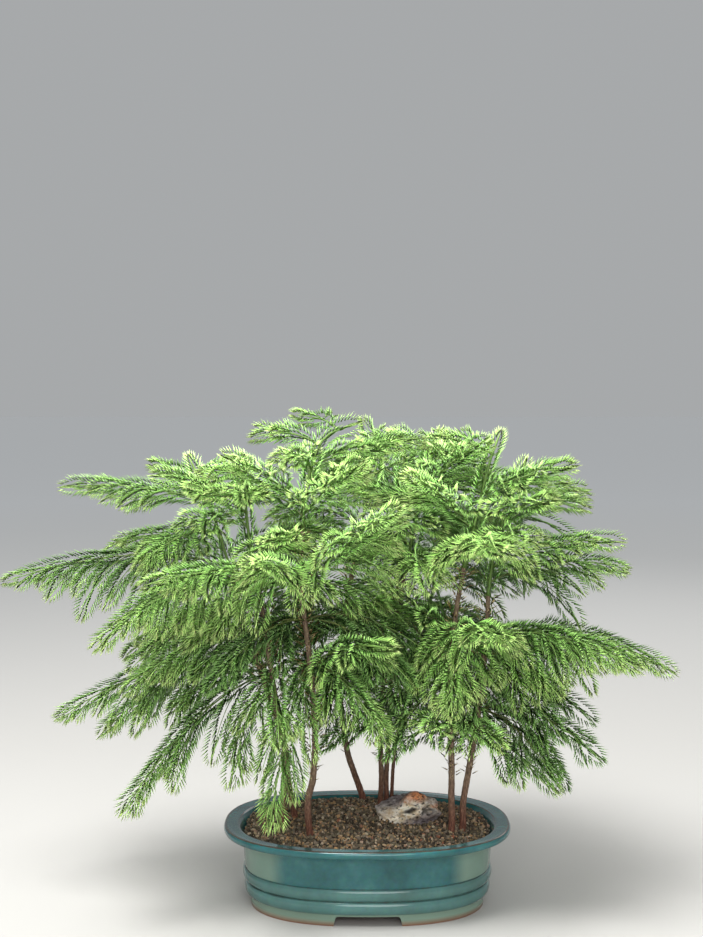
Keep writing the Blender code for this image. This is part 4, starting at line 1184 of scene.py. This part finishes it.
def make_needle():
    """One needle, a metre long: a slim three-sided spindle, which bends where it is widest."""
    deselect()
    bpy.ops.mesh.primitive_cone_add(
        vertices=3, radius1=1, radius2=0, depth=1 - NEEDLE_BEND, location=(0, 0, (1 + NEEDLE_BEND) / 2)
    )
    needle = take("needle")
    settle(needle)
    bpy.ops.object.mode_set(mode="EDIT")
    bpy.ops.mesh.select_all(action="DESELECT")
    bpy.ops.object.mode_set(mode="OBJECT")
    for face in needle.data.polygons:
        face.select = face.normal.z < -0.9
    bpy.ops.object.mode_set(mode="EDIT")
    bpy.ops.mesh.select_mode(type="FACE")
    bpy.ops.mesh.poke(offset=-NEEDLE_BEND, center_mode="MEDIAN")
    bpy.ops.object.mode_set(mode="OBJECT")
    corners, faces = corners_of(needle), triangles_of(needle)
    bpy.data.objects.remove(needle)
    return corners, faces


def grow_needles(copies, line, places, lengths, spreads, turns, ages, draw, finish):
    """Sets copies of the needle along a carried line, each turned about it and leaning forward."""
    points, ways, across, upward, along = line
    shape, faces = NEEDLE
    way = read_at(places, along, ways)
    way /= np.linalg.norm(way, axis=1, keepdims=True)
    arm = np.cos(turns)[:, None] * read_at(places, along, across)
    arm += np.sin(turns)[:, None] * read_at(places, along, upward)
    arm -= way * np.sum(arm * way, axis=1, keepdims=True)
    arm /= np.linalg.norm(arm, axis=1, keepdims=True)
    lean, rise = np.cos(spreads)[:, None], np.sin(spreads)[:, None]
    blade = way * lean + arm * rise
    back = arm * lean - way * rise
    side = np.cross(blade, back)
    root = read_at(places, along, points) - blade * NEEDLE_ROOT
    length = lengths[:, None, None]
    thick = np.sqrt(np.minimum(lengths / NEEDLE_LENGTH, 1))[:, None, None] * NEEDLE_THICK
    bow = NEEDLE_BOW * np.isclose(shape[:, 2], NEEDLE_BEND, atol=0.01)
    corners = (
        root[:, None]
        + blade[:, None] * shape[None, :, 2, None] * length
        + side[:, None] * shape[None, :, 0, None] * thick
        + back[:, None] * (shape[None, :, 1, None] * NEEDLE_FLAT * thick + bow[None, :, None] * length)
    )
    count = len(places)
    numbered = (faces[None] + (np.arange(count) * len(shape))[:, None, None]).reshape(-1, 3)
    tints = np.empty((count, len(shape), 3))
    tints[..., 0] = ages[:, None]
    tints[..., 1] = draw.uniform(0, 1, count)[:, None]
    tints[..., 2] = shape[None, :, 2]
    copies.add(corners.reshape(-1, 3), numbered, tints.reshape(-1, 3), finish)


def grow_shoot(copies, line, width, draw, age_and_light, first, youngest=1.0):
    """A green twig with needles all round it, close and young at its end."""
    line = carried(line)
    points, _, _, _, along = line
    end = along[-1]
    share = along / end
    swell = 1 + TWIG_COLLAR * np.exp(-along / TWIG_COLLAR_LENGTH)
    widths = width * (1 - (1 - TWIG_TIP_SHARE) * share) * swell
    widths[-1] *= TWIG_END_SHARE
    corners = tube(line, widths, TWIG_SIDES).reshape(-1, 3)
    young = np.exp(-TWIG_OLDER * (end - along) / YOUNG_LENGTH)
    tints = np.stack([np.clip(age_and_light * TWIG_AGE + young, 0, 1), np.full(len(along), TWIG_PAINT), 0 * along], 1)
    copies.add(corners, ring_faces(len(points), TWIG_SIDES), np.repeat(tints, TWIG_SIDES, 0), 1)
    places = [first]
    while places[-1] < end:
        near_tip = min(1, max(0, (places[-1] - (end - TASSEL)) / TASSEL))
        places.append(places[-1] + NEEDLE_SPACING + (NEEDLE_SPACING_AT_TIP - NEEDLE_SPACING) * near_tip)
    places = np.array(places[:-1])
    count = len(places)
    tip = np.clip((places - (end - TASSEL)) / TASSEL, 0, 1)
    start = np.clip((places - first) / NEEDLE_GROWS_OVER, 0, 1)
    lengths = NEEDLE_LENGTH * draw.uniform(*NEEDLE_LENGTHS, count)
    lengths *= (FIRST_NEEDLE + (1 - FIRST_NEEDLE) * start) * (1 - TIP_SHORTER * tip**TIP_LENGTH_POWER)
    spreads = NEEDLE_SPREAD + (NEEDLE_SPREAD_AT_TIP - NEEDLE_SPREAD) * tip**TIP_SPREAD_POWER
    spreads = spreads + draw.uniform(-SPREAD_DIFFERS, SPREAD_DIFFERS, count)
    turns = draw.uniform(0, 6) + ROW_TURN * np.arange(count)
    turns = turns + draw.uniform(-TURN_DIFFERS, TURN_DIFFERS, count)
    # The needles' ages carry the frond's age with its painted light and shade, and grow younger towards the
    # shoot's end.
    ages = age_and_light + (youngest - age_and_light) * np.exp(-(end - places) / YOUNG_LENGTH)
    ages = np.clip(ages + draw.uniform(-NEEDLE_AGE_DIFFERS, NEEDLE_AGE_DIFFERS, count), 0, 1)
    grow_needles(copies, line, places, lengths, spreads, turns, ages, draw, 0)


def resampled(line, step):
    """A line's smooth points about one step apart."""
    return curve_points([Vector(point) for point in line], step)


def make_sprays(plans):
    """The green growth of every tree: a piece for each whorl, and one for each leader with its fronds."""
    needles, twigs = green_needles(), green_twig()
    for name, planned in plans.items():
        draw = np.random.default_rng(zlib.crc32(name.encode()))
        copies = Copies()
        shaded = name in SHADED
        youngest = SHADED_TIP if shaded else 1
        for frond, line in planned:
            # Fronds in front, and those high up, are painted newer and lighter: in front this is painted
            # light, high up partly real age and partly painted light.
            front = min(1, max(0, (FRONT_FROM - line[-1].y) / FRONT_DEPTH))
            age_and_light = AGE_AT_SOIL + AGE_AND_LIGHT_BY_HEIGHT * line[0].z / TREE_HEIGHT + LIGHT_BY_FRONT * front
            age_and_light = min(AGE_MOST, max(AGE_LEAST, age_and_light + draw.uniform(-AGE_DIFFERS, AGE_DIFFERS)))
            # Painted shade: the shaded middle growth is made a deeper green.
            age_and_light *= PAINTED_SHADE_SHARE if shaded else 1
            grow_shoot(copies, line, FROND_WIDTH, draw, age_and_light, FROND_BARE, youngest)
            for number, side in enumerate(lateral_lines(line, frond)):
                if name in THINNED and number % THIN_EVERY == 0:
                    continue
                grow_shoot(copies, side, LATERAL_WIDTH, draw, age_and_light, LATERAL_BARE, youngest)
        if name in LEADERS:
            grow_shoot(copies, leader_line(tree_of(name)), LEADER_WIDTH, draw, LEADER_AGE, LATERAL_BARE)
        spray = copies.piece(name + "_spray", "leaf")
        dress(spray, "needles", needles, twigs)
        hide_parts(name)


def make_trunks():
    """Slim brown trunks, flared at the soil, with flaking bark and last year's needles higher up."""
    bark, withered = flaking_bark(), withered_needles()
    for number, tree in enumerate(TREES):
        draw = np.random.default_rng(number)
        line = carried(resampled(trunk_corners(tree), BARK_STEP))
        points, _, across, upward, along = line
        over_soil = np.maximum(points[:, 2] - SOIL_LEVEL, 0)
        flare = 1 + ROOT_FLARE * np.exp(-over_soil / ROOT_FLARE_HEIGHT)
        widths = np.array([trunk_width(tree, share) for share in along / along[-1]]) * flare
        corners = tube(line, widths, BARK_SIDES)
        out = corners - points[:, None]
        out /= np.linalg.norm(out, axis=2, keepdims=True)
        relief = [
            BARK_RIDGE * noise.fractal(Vector(corner * BARK_RIDGES), 0.9, 2.2, 3)
            for corner in corners.reshape(-1, 3)
        ]
        scars = BARK_SCAR * np.sin(along / SCAR_SPACING * 2 * np.pi) ** 8
        relief = np.array(relief).reshape(len(points), BARK_SIDES) - scars[:, None]
        corners = corners + out * relief[..., None]
        copies = Copies()
        grey = np.clip((points[:, 2] - BARK_GREY_FROM) / BARK_GREY_OVER, 0, 1)
        tints = np.repeat(np.stack([grey, grey, grey], 1), BARK_SIDES, 0)
        copies.add(corners.reshape(-1, 3), ring_faces(len(points), BARK_SIDES), tints, 0)
        first = np.interp(OLD_NEEDLE_FROM, points[:, 2], along)
        places = np.arange(first, along[-1], OLD_NEEDLE_SPACING)
        count = len(places)
        lengths = OLD_NEEDLE_LENGTH * draw.uniform(*OLD_LENGTHS, count)
        lengths *= np.clip(OLD_FIRST + (1 - OLD_FIRST) * (places - first) / OLD_GROWS_OVER, 0, 1)
        spreads = draw.uniform(*OLD_SPREADS, count)
        turns = ROW_TURN * np.arange(count) + draw.uniform(-OLD_TURN_DIFFERS, OLD_TURN_DIFFERS, count)
        ages = draw.uniform(*OLD_AGES, count) * (places - first) / (along[-1] - first) + OLD_AGE
        grow_needles(copies, line, places, lengths, spreads, turns, np.clip(ages, 0, 1), draw, 1)
        trunk = copies.piece(tree + "_bark", "leaf")
        dress(trunk, "bark", bark, withered)
        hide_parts(tree + "_trunk")


# The view


def make_studio():
    """A plain pale floor, soft light, and the camera where the photograph was taken from."""
    deselect()
    bpy.ops.mesh.primitive_plane_add(size=FLOOR_SIZE, location=(POT.x, POT.y, 0))
    floor = take("floor")
    paper, tree, shader = new_material("pale_paper", Roughness=0.9)
    place = add_node(tree, "TexCoord").outputs["Object"]
    reach = add_node(tree, "VectorMath", {0: place}, operation="LENGTH").outputs["Value"]
    far = add_node(tree, "MapRange", {"Value": reach, "From Min": FLOOR_NEAR, "From Max": FLOOR_FAR})
    # The floor is painted darker near the pot, where the lamps fall on it, and lighter far off, where only
    # the sky lights it, so that it meets the sky evenly.
    shade = add_node(tree, "ValToRGB", {"Fac": far}, [(0.0, "#a8a6a2"), (1.0, "#b2b3b4")])
    feed(shader, {"Base Color": shade})
    floor.data.materials.append(paper)

    world = bpy.data.worlds.new("studio")
    world.use_nodes = True
    tree = world.node_tree
    way = add_node(tree, "TexCoord").outputs["Generated"]
    height = add_node(tree, "SeparateXYZ", {"Vector": way}).outputs["Z"]
    sky = {"Value": height, "From Min": 0.25, "From Max": 0.9, "To Min": 0.46, "To Max": 1.25}
    glow = add_node(tree, "MapRange", sky, interpolation_type="SMOOTHSTEP")
    feed(tree.nodes["Background"], {"Color": linear("#eceff1"), "Strength": glow})
    bpy.context.scene.world = world
    bpy.context.scene.view_settings.view_transform = "Standard"

    for name, place, size, power in LIGHTS:
        light = bpy.data.lights.new(name, "AREA")
        light.shape, light.size, light.energy = "DISK", size, power
        lamp = bpy.data.objects.new(name, light)
        bpy.context.collection.objects.link(lamp)
        lamp.location = POT + Vector(place)
        aim = POT + LIT_HEIGHT - lamp.location
        lamp.rotation_euler = aim.to_track_quat("-Z", "Y").to_euler()

    lens = bpy.data.cameras.new("camera")
    lens.sensor_width = FILM
    lens.lens = FILM * FOCAL_PIXELS / PHOTO_LONG_SIDE
    lens.clip_start, lens.clip_end = 0.01, 100
    camera = bpy.data.objects.new("camera", lens)
    bpy.context.collection.objects.link(camera)
    camera.location = POT + VIEW_FROM
    camera.rotation_euler = (math.pi / 2 - VIEW_DOWN, 0, 0)
    bpy.context.scene.camera = camera


make_studio()
make_pot()
make_soil_bed()
make_grains()
make_rock()
NEEDLE = make_needle()
make_trunks()
make_sprays(plan_grove())
